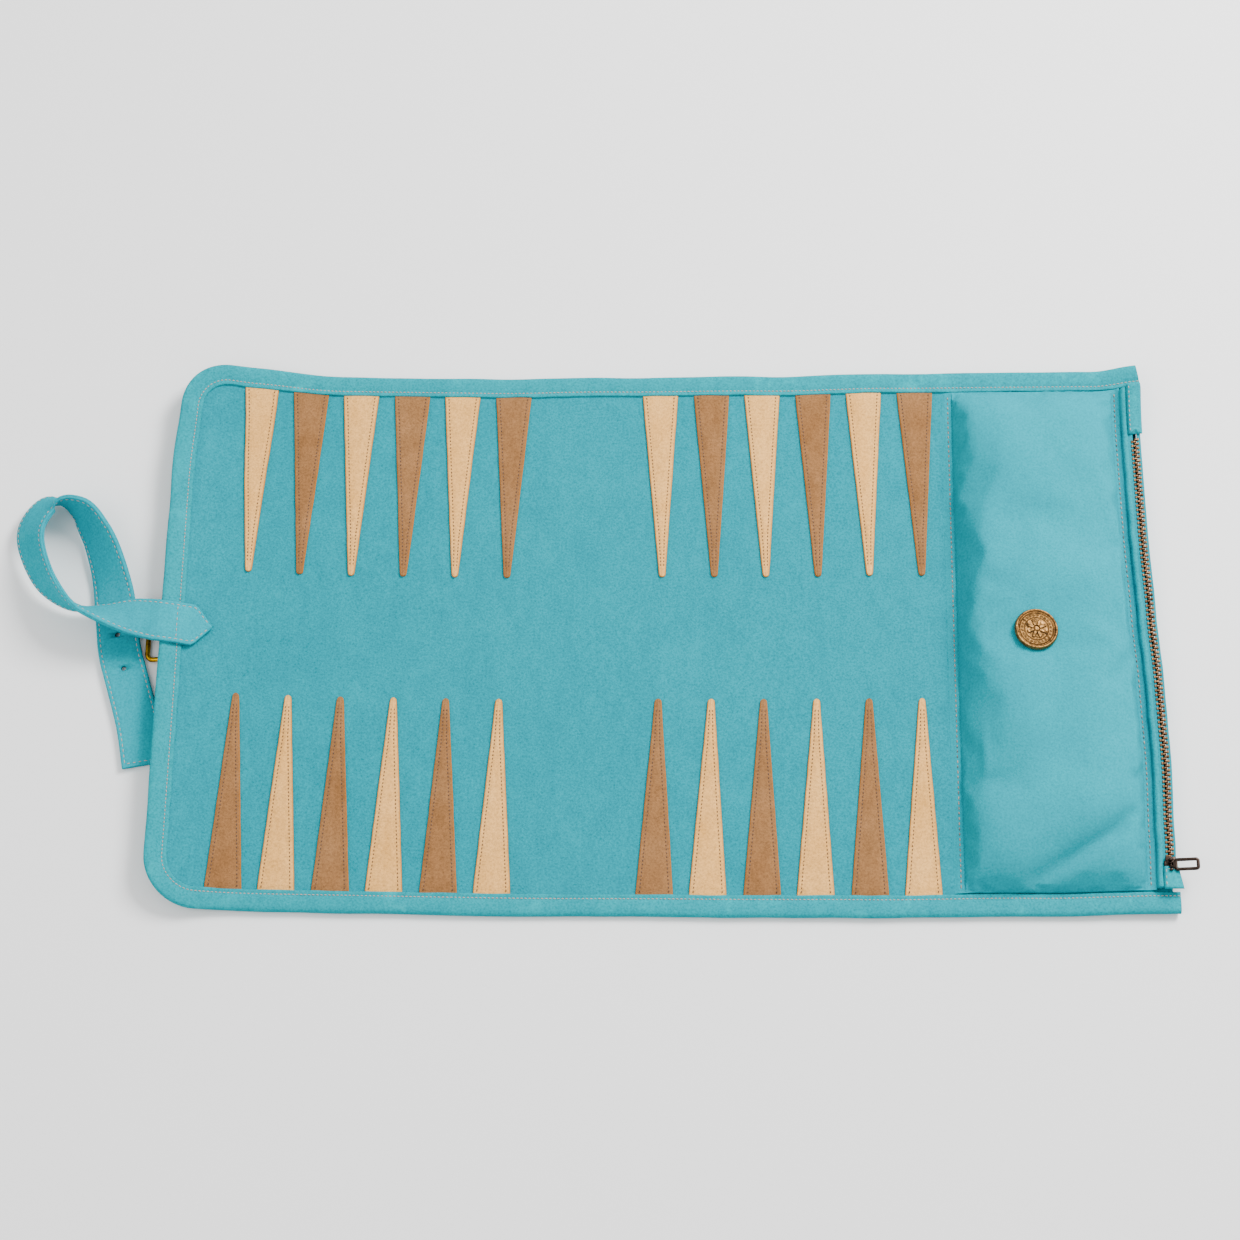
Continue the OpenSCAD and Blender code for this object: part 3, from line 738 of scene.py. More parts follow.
def pocket_front():
    vs = [math.sin((j / 140 - 0.5) * math.pi) for j in range(141)]
    cols = pocket_rows()
    verts = [c(v) for c in cols for v in vs]
    inner = [c(v * 0.995) for c in cols for v in vs]
    under = [Vector((p.x, p.y, max(p.z - 1.3 * MM, 2.45 * MM))) for p in inner]
    n0 = len(verts)
    nu, nv = len(cols), len(vs)
    moved = settle(verts, nu, nv)
    verts = [a + Vector((d.x, d.y, max(d.z, -0.0012))) for a, d in zip(verts, moved)]
    verts += [a + Vector((d.x, d.y, max(d.z, -0.0012))) for a, d in zip(under, moved)]
    faces = grid_faces(nu, nv) + grid_faces(nu, nv, base=n0, flip=True)
    ring = [i * nv for i in range(nu - 1)] + [(nu - 1) * nv + j for j in range(nv - 1)]
    ring += [i * nv + nv - 1 for i in range(nu - 1, 0, -1)] + [j for j in range(nv - 1, 0, -1)]
    for a, b in zip(ring, ring[1:] + ring[:1]):
        faces.append((a, n0 + a, n0 + b, b))
    ob = make("pocket_skin", verts, faces, POCKET)
    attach(ob, "pocket")
    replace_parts(ob, "pocket_front")
    sv, sf = [], []
    up = [Vector((0, 0, 1))] * 120
    vv = [-0.985 + 1.97 * i / 119 for i in range(120)]
    stitch_row(sv, sf, [lie(SEAM_X, v * PHY, 3.62) for v in vv], up, 2.9 * MM, 2.0 * MM, 0.34 * MM, 0.1)
    stitch_row(sv, sf, [rim(259.4, v * PHY, 3.95) for v in vv], up, 2.9 * MM, 2.0 * MM, 0.34 * MM, 0.1)
    st = make("pocket_stitches", sv, sf, THREAD_MIX)
    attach(st, "pocket")


pocket_front()


def sweep_y(name, profile, y0, y1, n, place, mat, wave=0.0):
    """A closed profile in x and z swept along the zip's edge, with a rounded cap at each end."""
    verts, faces = [], []
    k = len(profile)
    cx = sum(q[0] for q in profile) / k
    cz = sum(q[1] for q in profile) / k
    ys = [y0 + (y1 - y0) * i / n for i in range(n + 1)]
    rings = [(y0, 0.6)] + [(y, 1.0) for y in [y0 + 0.35] + ys[1:-1] + [y1 - 0.35]] + [(y1, 0.6)]
    for y, sc in rings:
        w = wave * noise.noise(Vector((y / 9, cx, 2.0)))
        for x, z in profile:
            verts.append(place(cx + (x - cx) * sc + w, y, cz + (z - cz) * sc + w * 0.5))
    for i in range(len(rings) - 1):
        for j in range(k):
            a, b = i * k + j, i * k + (j + 1) % k
            faces.append((a, b, b + k, a + k))
    faces.append(tuple(range(k))[::-1])
    faces.append(tuple(range((len(rings) - 1) * k, len(rings) * k)))
    return make(name, verts, faces, mat)


def pocket_side(ob, slot_name, *nodes):
    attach(ob, "pocket")
    if nodes:
        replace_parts(ob, *nodes)
    return ob


LIP = [
    (262.3, 3.3), (263.6, 3.5), (265.0, 4.2), (265.75, 5.6), (265.8, 6.9), (265.3, 7.75),
    (264.4, 8.05), (263.4, 7.8), (262.7, 7.1), (262.35, 6.2), (262.2, 5.0),
]
lip = sweep_y("pocket_lip_fold", LIP, -145.6, 145.6, 110, rim, BINDING, 0.35)
pocket_side(lip, "suede_turquoise", "pocket_lip")


def ribbed(z, x0, x1, n, t):
    """Cross-section of a woven tape with fine ribs."""
    top = [(x0 + (x1 - x0) * i / n, z + t / 2 + (0.1 if i % 2 else 0.0)) for i in range(n + 1)]
    bot = [(x0 + (x1 - x0) * i / n, z - t / 2 - (0.1 if i % 2 else 0.0)) for i in range(n, -1, -1)]
    return top[::-1] + bot[::-1]


CZ = 7.2
TAPE_Y = 142.6
FRONT = ribbed(CZ - 0.1, 265.0, CH - 1.1, 8, 0.6)
BACK = [
    (CH + 1.2, CZ + 0.25), (CH + 1.2, CZ - 0.35), (CH + 2.3, CZ - 0.35), (CH + 2.55, 6.2),
    (CH + 2.4, 4.9), (CH + 2.2, 2.6), (CH + 3.0, 2.5), (CH + 3.25, 4.6), (CH + 3.45, 6.3),
    (CH + 3.35, 7.2), (CH + 2.8, CZ + 0.42),
]
tape = sweep_y("zip_tape_inner", FRONT, -TAPE_Y, TAPE_Y, 160, rim, TAPE, 0.1)
pocket_side(tape, "zip_tape", "zip_tape_front")
tape = sweep_y("zip_tape_outer", BACK[::-1], -TAPE_Y, TAPE_Y, 160, rim, TAPE, 0.12)
pocket_side(tape, "zip_tape", "zip_tape_back")


def soft_block(bm, x0, x1, y0, y1, z0, z1, r, taper=0.0, place=None):
    """A box with rounded edges added to bm; taper narrows its top."""
    t = bmesh.new()
    bmesh.ops.create_cube(t, size=1.0)
    for v in t.verts:
        k = 1 - taper if v.co.z > 0 else 1
        x = (x0 + x1) / 2 + v.co.x * (x1 - x0) * k
        y = (y0 + y1) / 2 + v.co.y * (y1 - y0) * k
        v.co = Vector((x, y, (z0 + z1) / 2 + v.co.z * (z1 - z0)))
    bmesh.ops.bevel(t, geom=list(t.edges), offset=r, segments=2, profile=0.6, affect="EDGES")
    new = [bm.verts.new(place(*v.co) if place else v.co * MM) for v in t.verts]
    bm.verts.ensure_lookup_table()
    t.verts.index_update()
    for f in t.faces:
        bm.faces.new([new[v.index] for v in f.verts])
    t.free()


def from_bm(name, bm, mat, smooth=True):
    bmesh.ops.recalc_face_normals(bm, faces=list(bm.faces))
    me = bpy.data.meshes.new(name)
    bm.to_mesh(me)
    bm.free()
    me.materials.append(mat)
    if smooth:
        me.polygons.foreach_set("use_smooth", [True] * len(me.polygons))
    ob = bpy.data.objects.new(name, me)
    bpy.context.scene.collection.objects.link(ob)
    return ob


def teeth(name, side, start):
    bm = bmesh.new()
    for i in range(94):
        y = -128.4 + start + i * 2.6
        x = CH + side * 0.55
        soft_block(bm, x - 1.05, x + 1.05, y - 0.58, y + 0.58, CZ - 0.85, CZ + 0.85, 0.22, 0.12, rim)
        xo = CH + side * 1.75
        soft_block(bm, xo - 0.62, xo + 0.62, y - 0.92, y + 0.92, CZ - 0.75, CZ + 0.72, 0.25, 0.1, rim)
    return from_bm(name, bm, BRASS_TEETH)


pocket_side(teeth("zip_teeth_inner", -1, 0.0), "brass", "zip_teeth_front")
pocket_side(teeth("zip_teeth_outer", 1, 1.3), "brass", "zip_teeth_back")


def tab(name, y0, y1, notch_low):
    """Leather tab folded over one end of the zip, with its own stitches."""
    verts = []
    xs = [265.6 + (273.6 - 265.6) * i / 16 for i in range(17)]
    n = 40
    for i in range(n + 1):
        v = i / n
        for x in xs:
            y = y0 + (y1 - y0) * v
            mid = hump((x - CH), 1.3)
            if notch_low and v < 0.1:
                y += 2.0 * mid * (1 - v / 0.1)
            xx = x + (0 if notch_low else 2.6 * (1 - v) * (x - 265.6) / 8)
            edge = min(1.0, min(x - 265.6, 273.6 - x) / 0.8)
            z = 8.3 + 1.35 * math.sqrt(max(0.0, edge)) + 0.3 * hump(x - CH, 2.2)
            z += 0.15 * noise.noise(Vector((x / 3, y / 5, 1)))
            z -= 0.5 * smooth01((0.04 - v) / 0.04) + 0.5 * smooth01((v - 0.96) / 0.04)
            verts.append(rim(xx, y, z))
    m = len(verts)
    for i in range(n + 1):
        for x in xs:
            xx = x + (0 if notch_low else 2.6 * (1 - i / n) * (x - 265.6) / 8)
            verts.append(rim(xx, y0 + (y1 - y0) * i / n, 7.9))
    faces = grid_faces(n + 1, 17, flip=True) + grid_faces(n + 1, 17, base=m)
    ring = [i * 17 for i in range(n)] + [n * 17 + j for j in range(16)]
    ring += [i * 17 + 16 for i in range(n, 0, -1)] + list(range(16, 0, -1))
    for a, b in zip(ring, ring[1:] + ring[:1]):
        faces.append((a, b, m + b, m + a))
    ob = pocket_side(make(name, verts, faces, BINDING), "suede_turquoise")
    sv, sf = [], []
    pts = [rim(266.7, y0 + 1 + (y1 - y0 - 2) * i / 20, 9.62) for i in range(21)]
    stitch_row(sv, sf, pts, [Vector((0, 0, 1))] * 21, 2.6 * MM, 1.8 * MM, 0.26 * MM, 0.1)
    ye = y0 + 1.6 if notch_low else y1 - 1.6
    pts = [rim(266.7 + 6 * i / 6, ye, 9.62 + 0.3 * hump(266.7 + i - CH, 2.2)) for i in range(7)]
    if not notch_low:
        stitch_row(sv, sf, pts, [Vector((0, 0, 1))] * 7, 2.4 * MM, 1.6 * MM, 0.26 * MM, 0.1)
    pocket_side(make(name + "_stitches", sv, sf, THREAD_LIGHT), "zip_tape")
    return ob


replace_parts(tab("zip_tab_far", 118.0, 146.6, True), "zip_tabs")
tab("zip_tab_near", -146.6, -134.4, False)


# slider with lugs and pin, and the open pull that turns on it
SLIDER_Y = -127.4
OVER_CHAIN = 0.9  # the slider and pull are set this far over, onto the bowed teeth


def zip_slider():
    bm = bmesh.new()
    y0 = SLIDER_Y
    soft_block(bm, CH - 3.3, CH + 3.9, y0 - 4.6, y0 + 2.6, CZ + 1.35, CZ + 2.45, 0.45)
    soft_block(bm, CH - 2.6, CH + 3.2, y0 + 1.2, y0 + 5.0, CZ + 1.35, CZ + 2.4, 0.5)
    soft_block(bm, CH - 2.5, CH + 2.9, y0 - 3.2, y0 + 3.2, CZ + 2.2, CZ + 2.9, 0.3, 0.25)
    soft_block(bm, CH - 3.3, CH - 2.5, y0 - 4.3, y0 + 2.4, CZ + 1.1, CZ + 1.9, 0.25)
    soft_block(bm, CH + 3.0, CH + 3.8, y0 - 4.3, y0 + 2.4, CZ + 1.1, CZ + 1.9, 0.25)
    for a, b in ((-3.4, -2.0), (2.0, 3.4)):
        soft_block(bm, CH - 0.95, CH + 0.95, y0 + a, y0 + b, CZ + 2.3, CZ + 5.1, 0.4, 0.15)
    rot = Matrix.Rotation(math.radians(SLANT_DEG), 4, "Z")
    for v in bm.verts:
        v.co = Vector((CH * MM, 0, 0)) + rot @ (v.co - Vector((CH * MM, 0, 0)))
    pin = [Vector((CH - y0 * SLANT, y0 + s, CZ + 3.8)) * MM for s in (-2.1, 2.1)]
    ring_tube(bm, pin, 0.5 * MM)
    for v in bm.verts:
        v.co.x += OVER_CHAIN * MM
    return from_bm("zip_slider_body", bm, GUN)


def ring_tube(bm, pts, r, closed=False, n=12, flat=1.0):
    """A round bar along pts; closed joins its ends."""
    rings = []
    m = len(pts)
    prev = None
    for i, p in enumerate(pts):
        q = pts[(i + 1) % m] if closed or i < m - 1 else p
        o = pts[i - 1] if closed or i > 0 else p
        d = (q - o).normalized()
        ref = Vector((0, 0, 1)) if abs(d.z) < 0.9 else Vector((0, 1, 0))
        if prev is not None:
            ref = prev
        a = (ref - d * ref.dot(d)).normalized()
        prev = a
        b = d.cross(a)
        turns = [2 * math.pi * k / n for k in range(n)]
        ring = [p + a * (r * flat * math.cos(t)) + b * (r * math.sin(t)) for t in turns]
        rings.append([bm.verts.new(co) for co in ring])
    for i in range(m if closed else m - 1):
        A, B = rings[i], rings[(i + 1) % m]
        for k in range(n):
            bm.faces.new((A[k], A[(k + 1) % n], B[(k + 1) % n], B[k]))
    if not closed:
        bm.faces.new(rings[0][::-1])
        bm.faces.new(rings[-1])


def round_rect(x0, x1, y0, y1, r, n=6):
    out = []
    corners = ((x1 - r, y1 - r, 0), (x0 + r, y1 - r, 90), (x0 + r, y0 + r, 180), (x1 - r, y0 + r, 270))
    for cx, cy, a0 in corners:
        for k in range(n + 1):
            a = math.radians(a0 + 90 * k / n)
            out.append((cx + r * math.cos(a), cy + r * math.sin(a)))
    return out


def zip_pull():
    bm = bmesh.new()
    tilt = Matrix.Rotation(math.radians(-8), 4, "Y")
    skew = Matrix.Rotation(math.radians(SLANT_DEG), 4, "Z")
    home = Vector((CH - SLIDER_Y * SLANT + OVER_CHAIN, SLIDER_Y, CZ + 3.8)) * MM
    rect = round_rect(2.5, 14.2, -2.6, 2.6, 1.1)
    ring_tube(bm, [Vector((x * MM, y * MM, 0)) for x, y in rect], 0.95 * MM, closed=True, flat=0.8)
    soft_block(bm, 0.9, 3.0, -1.85, 1.85, -0.6, 0.6, 0.3)
    for a in (-1.85, 0.15):
        turns = [2 * math.pi * k / 14 for k in range(14)]
        loop = [Vector((0.95 * math.cos(t), a + 0.85, 0.95 * math.sin(t))) * MM for t in turns]
        ring_tube(bm, loop, 0.36 * MM, closed=True)
    for v in bm.verts:
        v.co = home + skew @ (tilt @ v.co)
    return from_bm("zip_pull_frame", bm, GUN)


ob = zip_slider()
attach(ob, "zip_slider")
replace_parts(ob, "zip_slider")
ob = zip_pull()
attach(ob, "zip_pull")
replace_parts(ob, "zip_pull")


# round stud with a rim, a ring of beads and a plain star in relief
def medallion():
    verts, faces = [], []
    nr, na = 54, 160
    R = 12.0

    def height(r, a):
        z = 1.25 + 0.5 * hump(r, 11)
        z += 0.9 * smooth01((r - 9.9) / 0.8) * (1 - smooth01((r - 11.2) / 0.8) * 1.6)
        z += 0.45 * hump(r - 9.2, 0.28)
        bead = (a % (math.pi / 12)) - math.pi / 24
        z += 0.6 * hump(math.hypot(bead * 7.9, r - 7.9), 0.52)
        z += 0.4 * hump(r - 6.5, 0.25)
        p = abs(((a / (2 * math.pi) * 8) % 1) - 0.5) * 2
        if r > 1.4:
            z += 0.75 * smooth01((5.9 - r) / 0.8) * smooth01((0.5 - p * (r / 5.9) * 1.3) / 0.16)
        z += 0.8 * smooth01((1.9 - r) / 0.5)
        z += 0.12 * noise.noise(Vector((r * math.cos(a) / 1.1, r * math.sin(a) / 1.1, 5)))
        return z

    tilt = Matrix.Rotation(math.radians(3), 4, "Y") @ Matrix.Rotation(math.radians(-3), 4, "X")

    def put(r, a, z):
        flat = tilt @ Vector((r * math.cos(a), r * math.sin(a), z))
        return lie(MEDAL_X, MEDAL_Y, 0) + (Vector((0, 0, 25.6)) + flat) * MM

    for i in range(nr):
        r = R * ((i + 0.5) / nr)
        for j in range(na):
            a = 2 * math.pi * j / na
            verts.append(put(r, a, height(r, a)))
    for r, z in ((12.0, 0.5), (11.6, 0.0)):
        for j in range(na):
            verts.append(put(r, 2 * math.pi * j / na, z))
    for i in range(nr + 1):
        for j in range(na):
            a, b = i * na + j, i * na + (j + 1) % na
            faces.append((a, a + na, b + na, b))
    faces.append(tuple(range(na)))
    faces.append(tuple(range((nr + 1) * na, (nr + 2) * na))[::-1])
    pocket_side(make("medallion_stud", verts, faces, BRASS), "brass", "medallion")


medallion()


# ---------------------------------------------------------------- strap
STRAP_W, STRAP_T = 23.6, 3.0


def rot_y(p, deg):
    a = math.radians(deg)
    return Vector((p.x * math.cos(a) + p.z * math.sin(a), p.y, -p.x * math.sin(a) + p.z * math.cos(a)))


def curled(x, y, z):
    """A point under or over the rigid strap end, x from the end, mm in and metres out."""
    p = Vector((x - HALF_L, y, z))
    for cx, deg in ((MARGIN - HALF_L, 9.0), (X2, 5.0)):
        c = Vector((cx, 0, TOP_Z))
        p = c + rot_y(p - c, deg)
    return p * MM


def catmull(p0, p1, p2, p3, t):
    bend = (2 * p0 - 5 * p1 + 4 * p2 - p3) * t * t + (3 * p1 - p0 - 3 * p2 + p3) * t ** 3
    return 0.5 * (2 * p1 + (p2 - p0) * t + bend)


# the two edges of the free strap as it lies, station by station, mm
EDGE_A = (
    (-288, -6, 18.5), (-304, -2, 25), (-318, 7, 27), (-331, 24, 26),
    (-338, 42, 24.5), (-338, 57, 22), (-329, 68, 21), (-315, 65, 20),
    (-304, 52, 18), (-296, 37, 15), (-291, 19, 8.5), (-288, 2, 4.5),
    (-286, -14, 2.5), (-280, -34, 2), (-273, -57, 2), (-268, -74, 2),
)
EDGE_B = (
    (-290, 13.5, 12.5), (-309, 13.5, 6.5), (-328, 14.5, 4.5), (-346, 26, 4.5),
    (-357, 46.5, 4.5), (-358, 62, 4.5), (-347.5, 75, 4.5), (-333, 70.5, 4),
    (-323.5, 57, 3.5), (-317.5, 40, 3), (-313.5, 25, 2.5), (-310.5, 5, 2),
    (-307, -12, 2), (-301, -30, 2), (-294.5, -51, 2), (-290, -80, 2),
)


def strap_stations():
    """(middle, across, half width) from the sewn tip out to the free end, metres."""
    out = []
    tip = [27.9, 27.6, 27.0, 26.0, 24.8] + [23.5 - 2 * i for i in range(12)]
    for d in tip:
        h = min(11.8, 0.7 + 11.6 * (28 - d) / 10.2)
        lift = 0.7 * (1 - smooth01((d - 9) / 5))
        out.append((lie(-HALF_L + d, 0, TOP_Z + STRAP_T / 2 - 0.1 + lift), Vector((0, 1, 0)), max(0.6, h)))
    root = lie(-HALF_L - 0.6, 0, TOP_Z + STRAP_T / 2 + 0.6) / MM
    mids, acr = [root], [Vector((0, 1, 0))]
    for a, b in zip(EDGE_A, EDGE_B):
        a, b = Vector(a), Vector(b)
        mids.append((a + b) / 2)
        acr.append((b - a).normalized())
    n = len(mids)
    for k in range(n - 1):
        i0, i3 = max(0, k - 1), min(n - 1, k + 2)
        for s in range(8):
            t = s / 8
            m = catmull(mids[i0], mids[k], mids[k + 1], mids[i3], t)
            c = catmull(acr[i0], acr[k], acr[k + 1], acr[i3], t).normalized()
            out.append((m * MM, c, 11.8))
    out.append((mids[-1] * MM, acr[-1], 11.8))
    return out


stations = strap_stations()


def strap_frame(i):
    m, c, h = stations[i]
    d = (stations[min(len(stations) - 1, i + 1)][0] - stations[max(0, i - 1)][0]).normalized()
    n = c.cross(d).normalized()
    if i < 18 and n.z < 0:
        n = -n
    c = c - d * c.dot(d)
    return m, c.normalized(), n, h


def strap_ring(i):
    m, c, n, h = strap_frame(i)
    if i > 0 and strap_ring.last is not None and n.dot(strap_ring.last) < 0:
        n = -n
    strap_ring.last = n
    k = min(1.0, h / 5.0)
    e = [
        (0.0, 0.12), (0.0, 0.75), (0.22, 1.15), (0.7, 1.42),
        (1.45, 1.46), (1.95, 1.22), (2.5, 1.46), (4.2, 1.52),
    ]
    wob = 0.12 * noise.noise(Vector((i / 6, 1.0, 0)))
    up = [(-(h - q * k), z) for q, z in e] + [(h - q * k, z) for q, z in reversed(e)]
    ring = [(u, z + wob * (1 - abs(u) / h)) for u, z in up]
    ring += [(h - 0.3 * k, 0.0)]
    ring += [(u, -z) for u, z in reversed(up)]
    ring += [(-(h - 0.3 * k), 0.0)]
    return [m + c * (u * MM) + n * (z * MM) for u, z in ring], m, c, n, h


def strap_part(name, i0, i1):
    strap_ring.last = strap_normals[i0]
    verts, faces = [], []
    for i in range(i0, i1 + 1):
        ring = strap_ring(i)[0]
        k = len(ring)
        verts += ring
    for i in range(i1 - i0):
        for j in range(k):
            a, b = i * k + j, i * k + (j + 1) % k
            faces.append((a, a + k, b + k, b))
    faces.append(tuple(range(k)))
    faces.append(tuple(range((i1 - i0) * k, (i1 - i0 + 1) * k))[::-1])
    return make(name, verts, faces, STRAP)


strap_normals = []
strap_ring.last = None
for i in range(len(stations)):
    strap_normals.append(strap_ring(i)[3])
CUT_I = next(i for i in range(17, len(stations)) if stations[i][0].x < -0.2815)


def strap_stitches(name, i0, i1):
    sv, sf = [], []
    for side in (-1, 1):
        for face in (1, -1):
            pts, ups = [], []
            for i in range(max(i0, 3), min(i1, len(stations) - 2) + 1):
                m, c, _, h = strap_frame(i)
                n = strap_normals[i]
                k = min(1.0, h / 5.0)
                pts.append(m + c * (side * (h - 1.95 * k) * MM) + n * (face * 1.28 * MM))
                ups.append(n * face)
            if face > 0 or i0 > 0:
                stitch_row(sv, sf, pts, ups, 3.1 * MM, 2.1 * MM, 0.27 * MM, 0.1)
    if i0 == 0:
        lift = 0.7 * (1 - smooth01(0.4 / 5))
        m = lie(-HALF_L + 9.4, 0, TOP_Z + STRAP_T + 0.05 + lift)
        pts = [m + Vector((0, y * MM, 0)) for y in (-9.4, -5, 0, 5, 9.4)]
        ups = [Vector((-0.2, 0, 1)).normalized()] * 5
        stitch_row(sv, sf, pts, ups, 2.8 * MM, 1.9 * MM, 0.27 * MM, 0.1)
    else:
        m, c, _, h = strap_frame(len(stations) - 2)
        n = strap_normals[-2]
        for face in (1, -1):
            pts = [m + c * (u * MM) + n * (face * 1.5 * MM) for u in (-9.4, -5, 0, 5, 9.4)]
            stitch_row(sv, sf, pts, [n * face] * 5, 2.8 * MM, 1.9 * MM, 0.27 * MM, 0.1)
    return make(name, sv, sf, THREAD_LIGHT)


def punch(ob, spots):
    """Cut the buckle holes right through the strap."""
    bm = bmesh.new()
    for p, n in spots:
        t = n.to_track_quat("Z", "Y").to_matrix().to_4x4()
        t.translation = p
        size = {"radius1": 1.55 * MM, "radius2": 1.55 * MM, "depth": 8 * MM}
        bmesh.ops.create_cone(bm, cap_ends=True, segments=24, matrix=t, **size)
    cut = from_bm("hole_cutter", bm, STRAP)
    md = ob.modifiers.new("holes", "BOOLEAN")
    md.operation, md.object, md.solver = "DIFFERENCE", cut, "EXACT"
    dg = bpy.context.evaluated_depsgraph_get()
    me = bpy.data.meshes.new_from_object(ob.evaluated_get(dg))
    ob.modifiers.clear()
    ob.data = me
    bpy.data.objects.remove(cut, do_unlink=True)


anchor = strap_part("strap_sewn_end", 0, CUT_I)
loop = strap_part("strap_free_part", CUT_I, len(stations) - 1)
spots = []
for want in (-3.5, -23.0):
    tail = range(len(stations) - 40, len(stations))
    best = min(tail, key=lambda i: abs(stations[i][0].y / MM - want))
    spots.append((stations[best][0], strap_normals[best]))
punch(loop, spots)
for ob in (anchor, strap_stitches("strap_sewn_end_stitches", 0, CUT_I)):
    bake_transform(ob)
for ob in (loop, strap_stitches("strap_free_part_stitches", CUT_I, len(stations) - 1)):
    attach(ob, "strap")
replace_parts(anchor, "strap_anchor")
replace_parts(loop, "strap_loop")


# ---------------------------------------------------------------- buckle
def buckle_local(x, y, z):
    a = math.radians(25.4)
    return curled(10 + x * math.cos(a) - z * math.sin(a), y, -2.9 + x * math.sin(a) + z * math.cos(a))


def buckle():
    bm = bmesh.new()
    rect = round_rect(-16, 0, -16.6, 16.6, 3.4, 8)
    ring_tube(bm, [buckle_local(x, y, 0) for x, y in rect], 1.4 * MM, closed=True, n=16)
    ob = from_bm("buckle_ring", bm, BUCKLE_BRASS)
    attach(ob, "buckle_frame")
    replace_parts(ob, "buckle_frame")
    bm = bmesh.new()
    turns = [math.radians(d) for d in range(-240, 91, 15)]
    pts = [(2.05 * math.cos(t), 2.05 * math.sin(t)) for t in turns]
    for y in (-0.75, 0.75):
        ring_tube(bm, [buckle_local(x, y, z) for x, z in pts], 0.75 * MM, n=10, flat=0.8)
    path = [(1.0, 2.0), (-1.0, 2.15), (-4, 2.2), (-9, 2.1), (-14, 2.05), (-16.6, 1.95)]
    ring_tube(bm, [buckle_local(x, 0, z) for x, z in path], 1.0 * MM, n=12, flat=0.6)
    ob = from_bm("buckle_tongue", bm, BUCKLE_BRASS)
    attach(ob, "buckle_prong")
    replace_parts(ob, "buckle_prong")


def buckle_tab():
    """Leather strip folded round the bar and sewn under the mat's edge, open in the middle for the tongue."""
    thick = 0.58
    path = [(31.5, -0.72), (26, -0.72), (20, -0.72), (14, -0.72), (11.5, -0.76)]
    turns = [math.radians(d) for d in range(95, 301, 12)]
    path += [(10 + 2.12 * math.cos(t), -2.9 + 2.12 * math.sin(t)) for t in turns]
    path += [(12.3, -3.3), (14.0, -2.3), (17, -1.95), (21, -1.92), (24, -1.9)]
    bm = bmesh.new()
    upper = [(31.5, -0.72), (24, -0.72), (16.5, -0.74)]
    lower = [(17.0, -1.95), (21, -1.92), (24, -1.9)]
    strips = ((-9.0, -2.1, path), (2.1, 9.0, path), (-2.3, 2.3, upper), (-2.3, 2.3, lower))
    for y0, y1, sub in strips:
        m = len(sub)
        rings = []
        for i, (x, z) in enumerate(sub):
            a, b = sub[max(0, i - 1)], sub[min(m - 1, i + 1)]
            l = math.hypot(b[0] - a[0], b[1] - a[1])
            nx, nz = -(b[1] - a[1]) / l, (b[0] - a[0]) / l
            ring = []
            top = ((y0, -0.6), (y0, 0.6), (y0 + 0.4, 1), (y1 - 0.4, 1))
            low = ((y1, 0.6), (y1, -0.6), (y1 - 0.4, -1), (y0 + 0.4, -1))
            for y, k in top + low:
                ring.append(bm.verts.new(curled(x + nx * thick * k, y, z + nz * thick * k)))
            rings.append(ring)
        for A, B in zip(rings, rings[1:]):
            for k in range(8):
                bm.faces.new((A[k], A[(k + 1) % 8], B[(k + 1) % 8], B[k]))
        bm.faces.new(rings[0][::-1])
        bm.faces.new(rings[-1])
    ob = from_bm("buckle_leather", bm, STRAP)
    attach(ob, "strap_half")
    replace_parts(ob, "buckle_tab")


buckle()
buckle_tab()


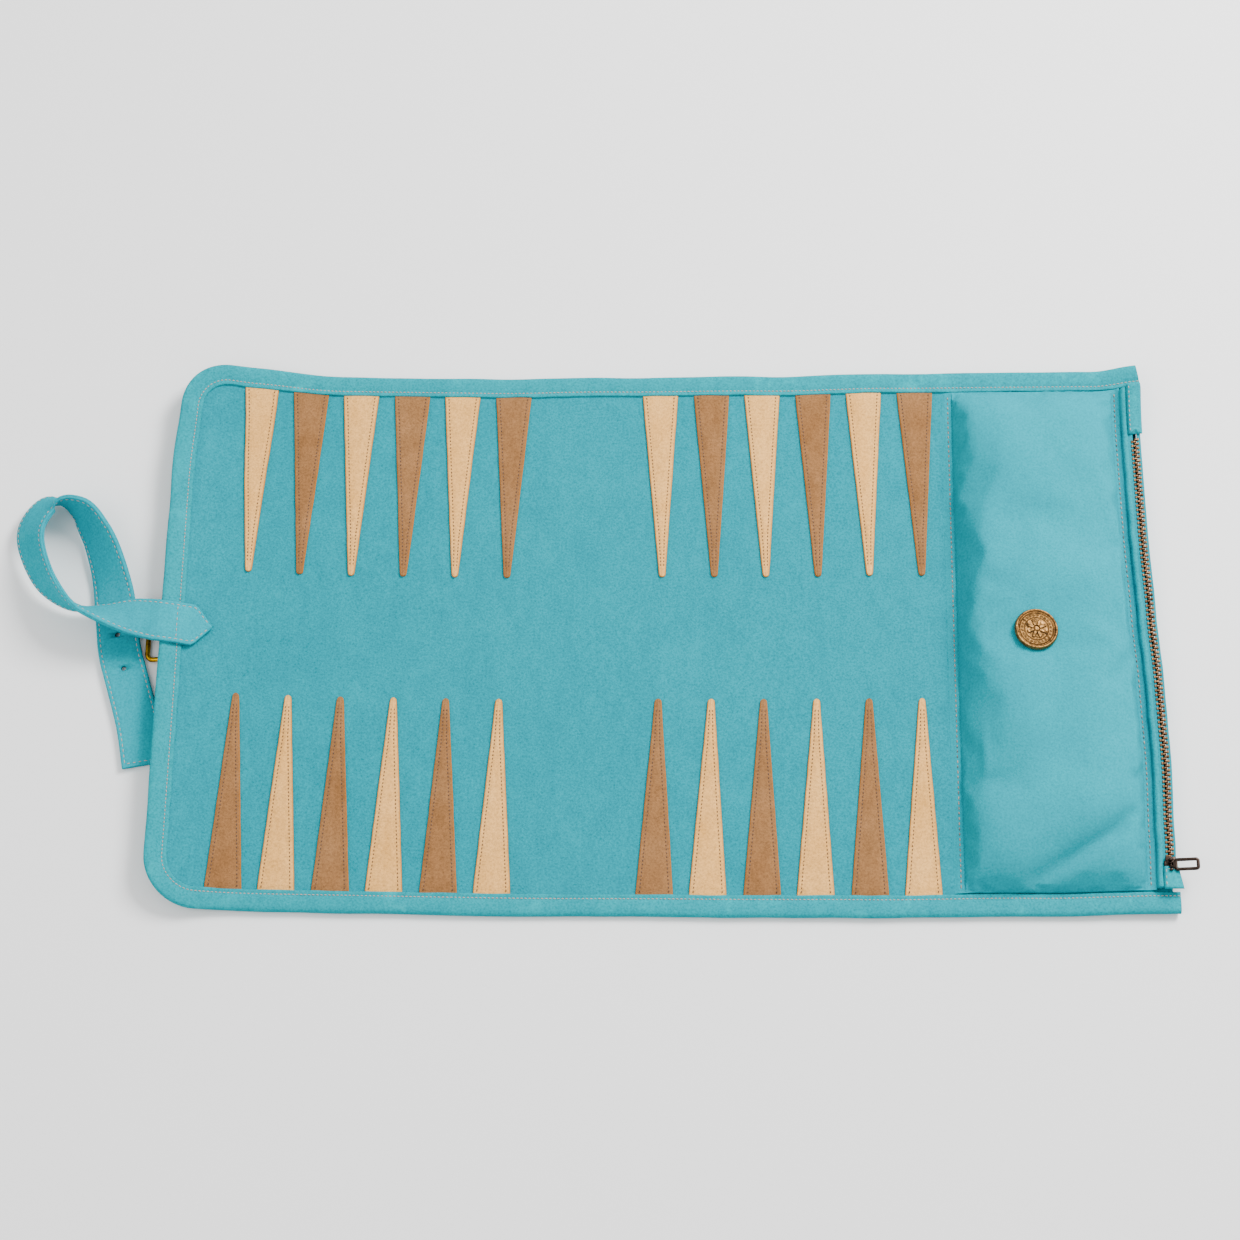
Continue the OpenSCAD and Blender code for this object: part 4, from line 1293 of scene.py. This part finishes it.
# ---------------------------------------------------------------- metal and game pieces kept from the CAD
KEPT = {
    "medallion_washer": BRASS,
    "checkers_light": CHECK_L,
    "checkers_dark": CHECK_D,
    "dice": DICE,
    "doubling_cube": DICE,
}
for node, mat in KEPT.items():
    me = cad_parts[node].data
    me.materials.clear()
    me.materials.append(mat)


# ---------------------------------------------------------------- light, floor, camera
def studio():
    sc = bpy.context.scene
    fm, _, b = new_mat("floor_white")
    b.inputs["Base Color"].default_value = (0.9, 0.9, 0.9, 1)
    b.inputs["Roughness"].default_value = 0.9
    me = bpy.data.meshes.new("floor")
    corners = [(x, y, -0.0002) for x, y in ((-6, -6), (6, -6), (6, 6), (-6, 6))]
    me.from_pydata(corners, [], [(0, 1, 2, 3)])
    me.materials.append(fm)
    fl = bpy.data.objects.new("floor", me)
    sc.collection.objects.link(fl)
    w = bpy.data.worlds.new("studio")
    w.use_nodes = True
    w.node_tree.nodes["Background"].inputs["Color"].default_value = (1, 1, 1, 1)
    w.node_tree.nodes["Background"].inputs["Strength"].default_value = 1.0
    sc.world = w
    lamps = (("key", (0.95, 0.85, 1.25), 0.7, 62), ("fill", (-1.2, -0.5, 1.6), 1.4, 14))
    for name, loc, size, power in lamps:
        li = bpy.data.lights.new(name, "AREA")
        li.size, li.energy = size, power
        lo = bpy.data.objects.new(name, li)
        lo.location = loc
        lo.rotation_euler = (Vector((0, 0, 0)) - Vector(loc)).to_track_quat("-Z", "Y").to_euler()
        sc.collection.objects.link(lo)
    cam = bpy.data.cameras.new("camera")
    cam.lens, cam.sensor_width = 81.0, 36.0
    cam.clip_end = 20
    co = bpy.data.objects.new("camera", cam)
    t, az, d = math.radians(20.0), math.radians(0.8), 1.543
    aim = Vector((-0.022, 0.011, 0))
    back = Vector((math.sin(az) * math.sin(t), -math.cos(az) * math.sin(t), math.cos(t)))
    up = Vector((-math.sin(az) * math.cos(t), math.cos(az) * math.cos(t), math.sin(t)))
    right = up.cross(back)
    m = Matrix((right, up, back)).transposed().to_4x4()
    m.translation = aim + back * d
    co.matrix_world = m
    sc.collection.objects.link(co)
    sc.camera = co


studio()
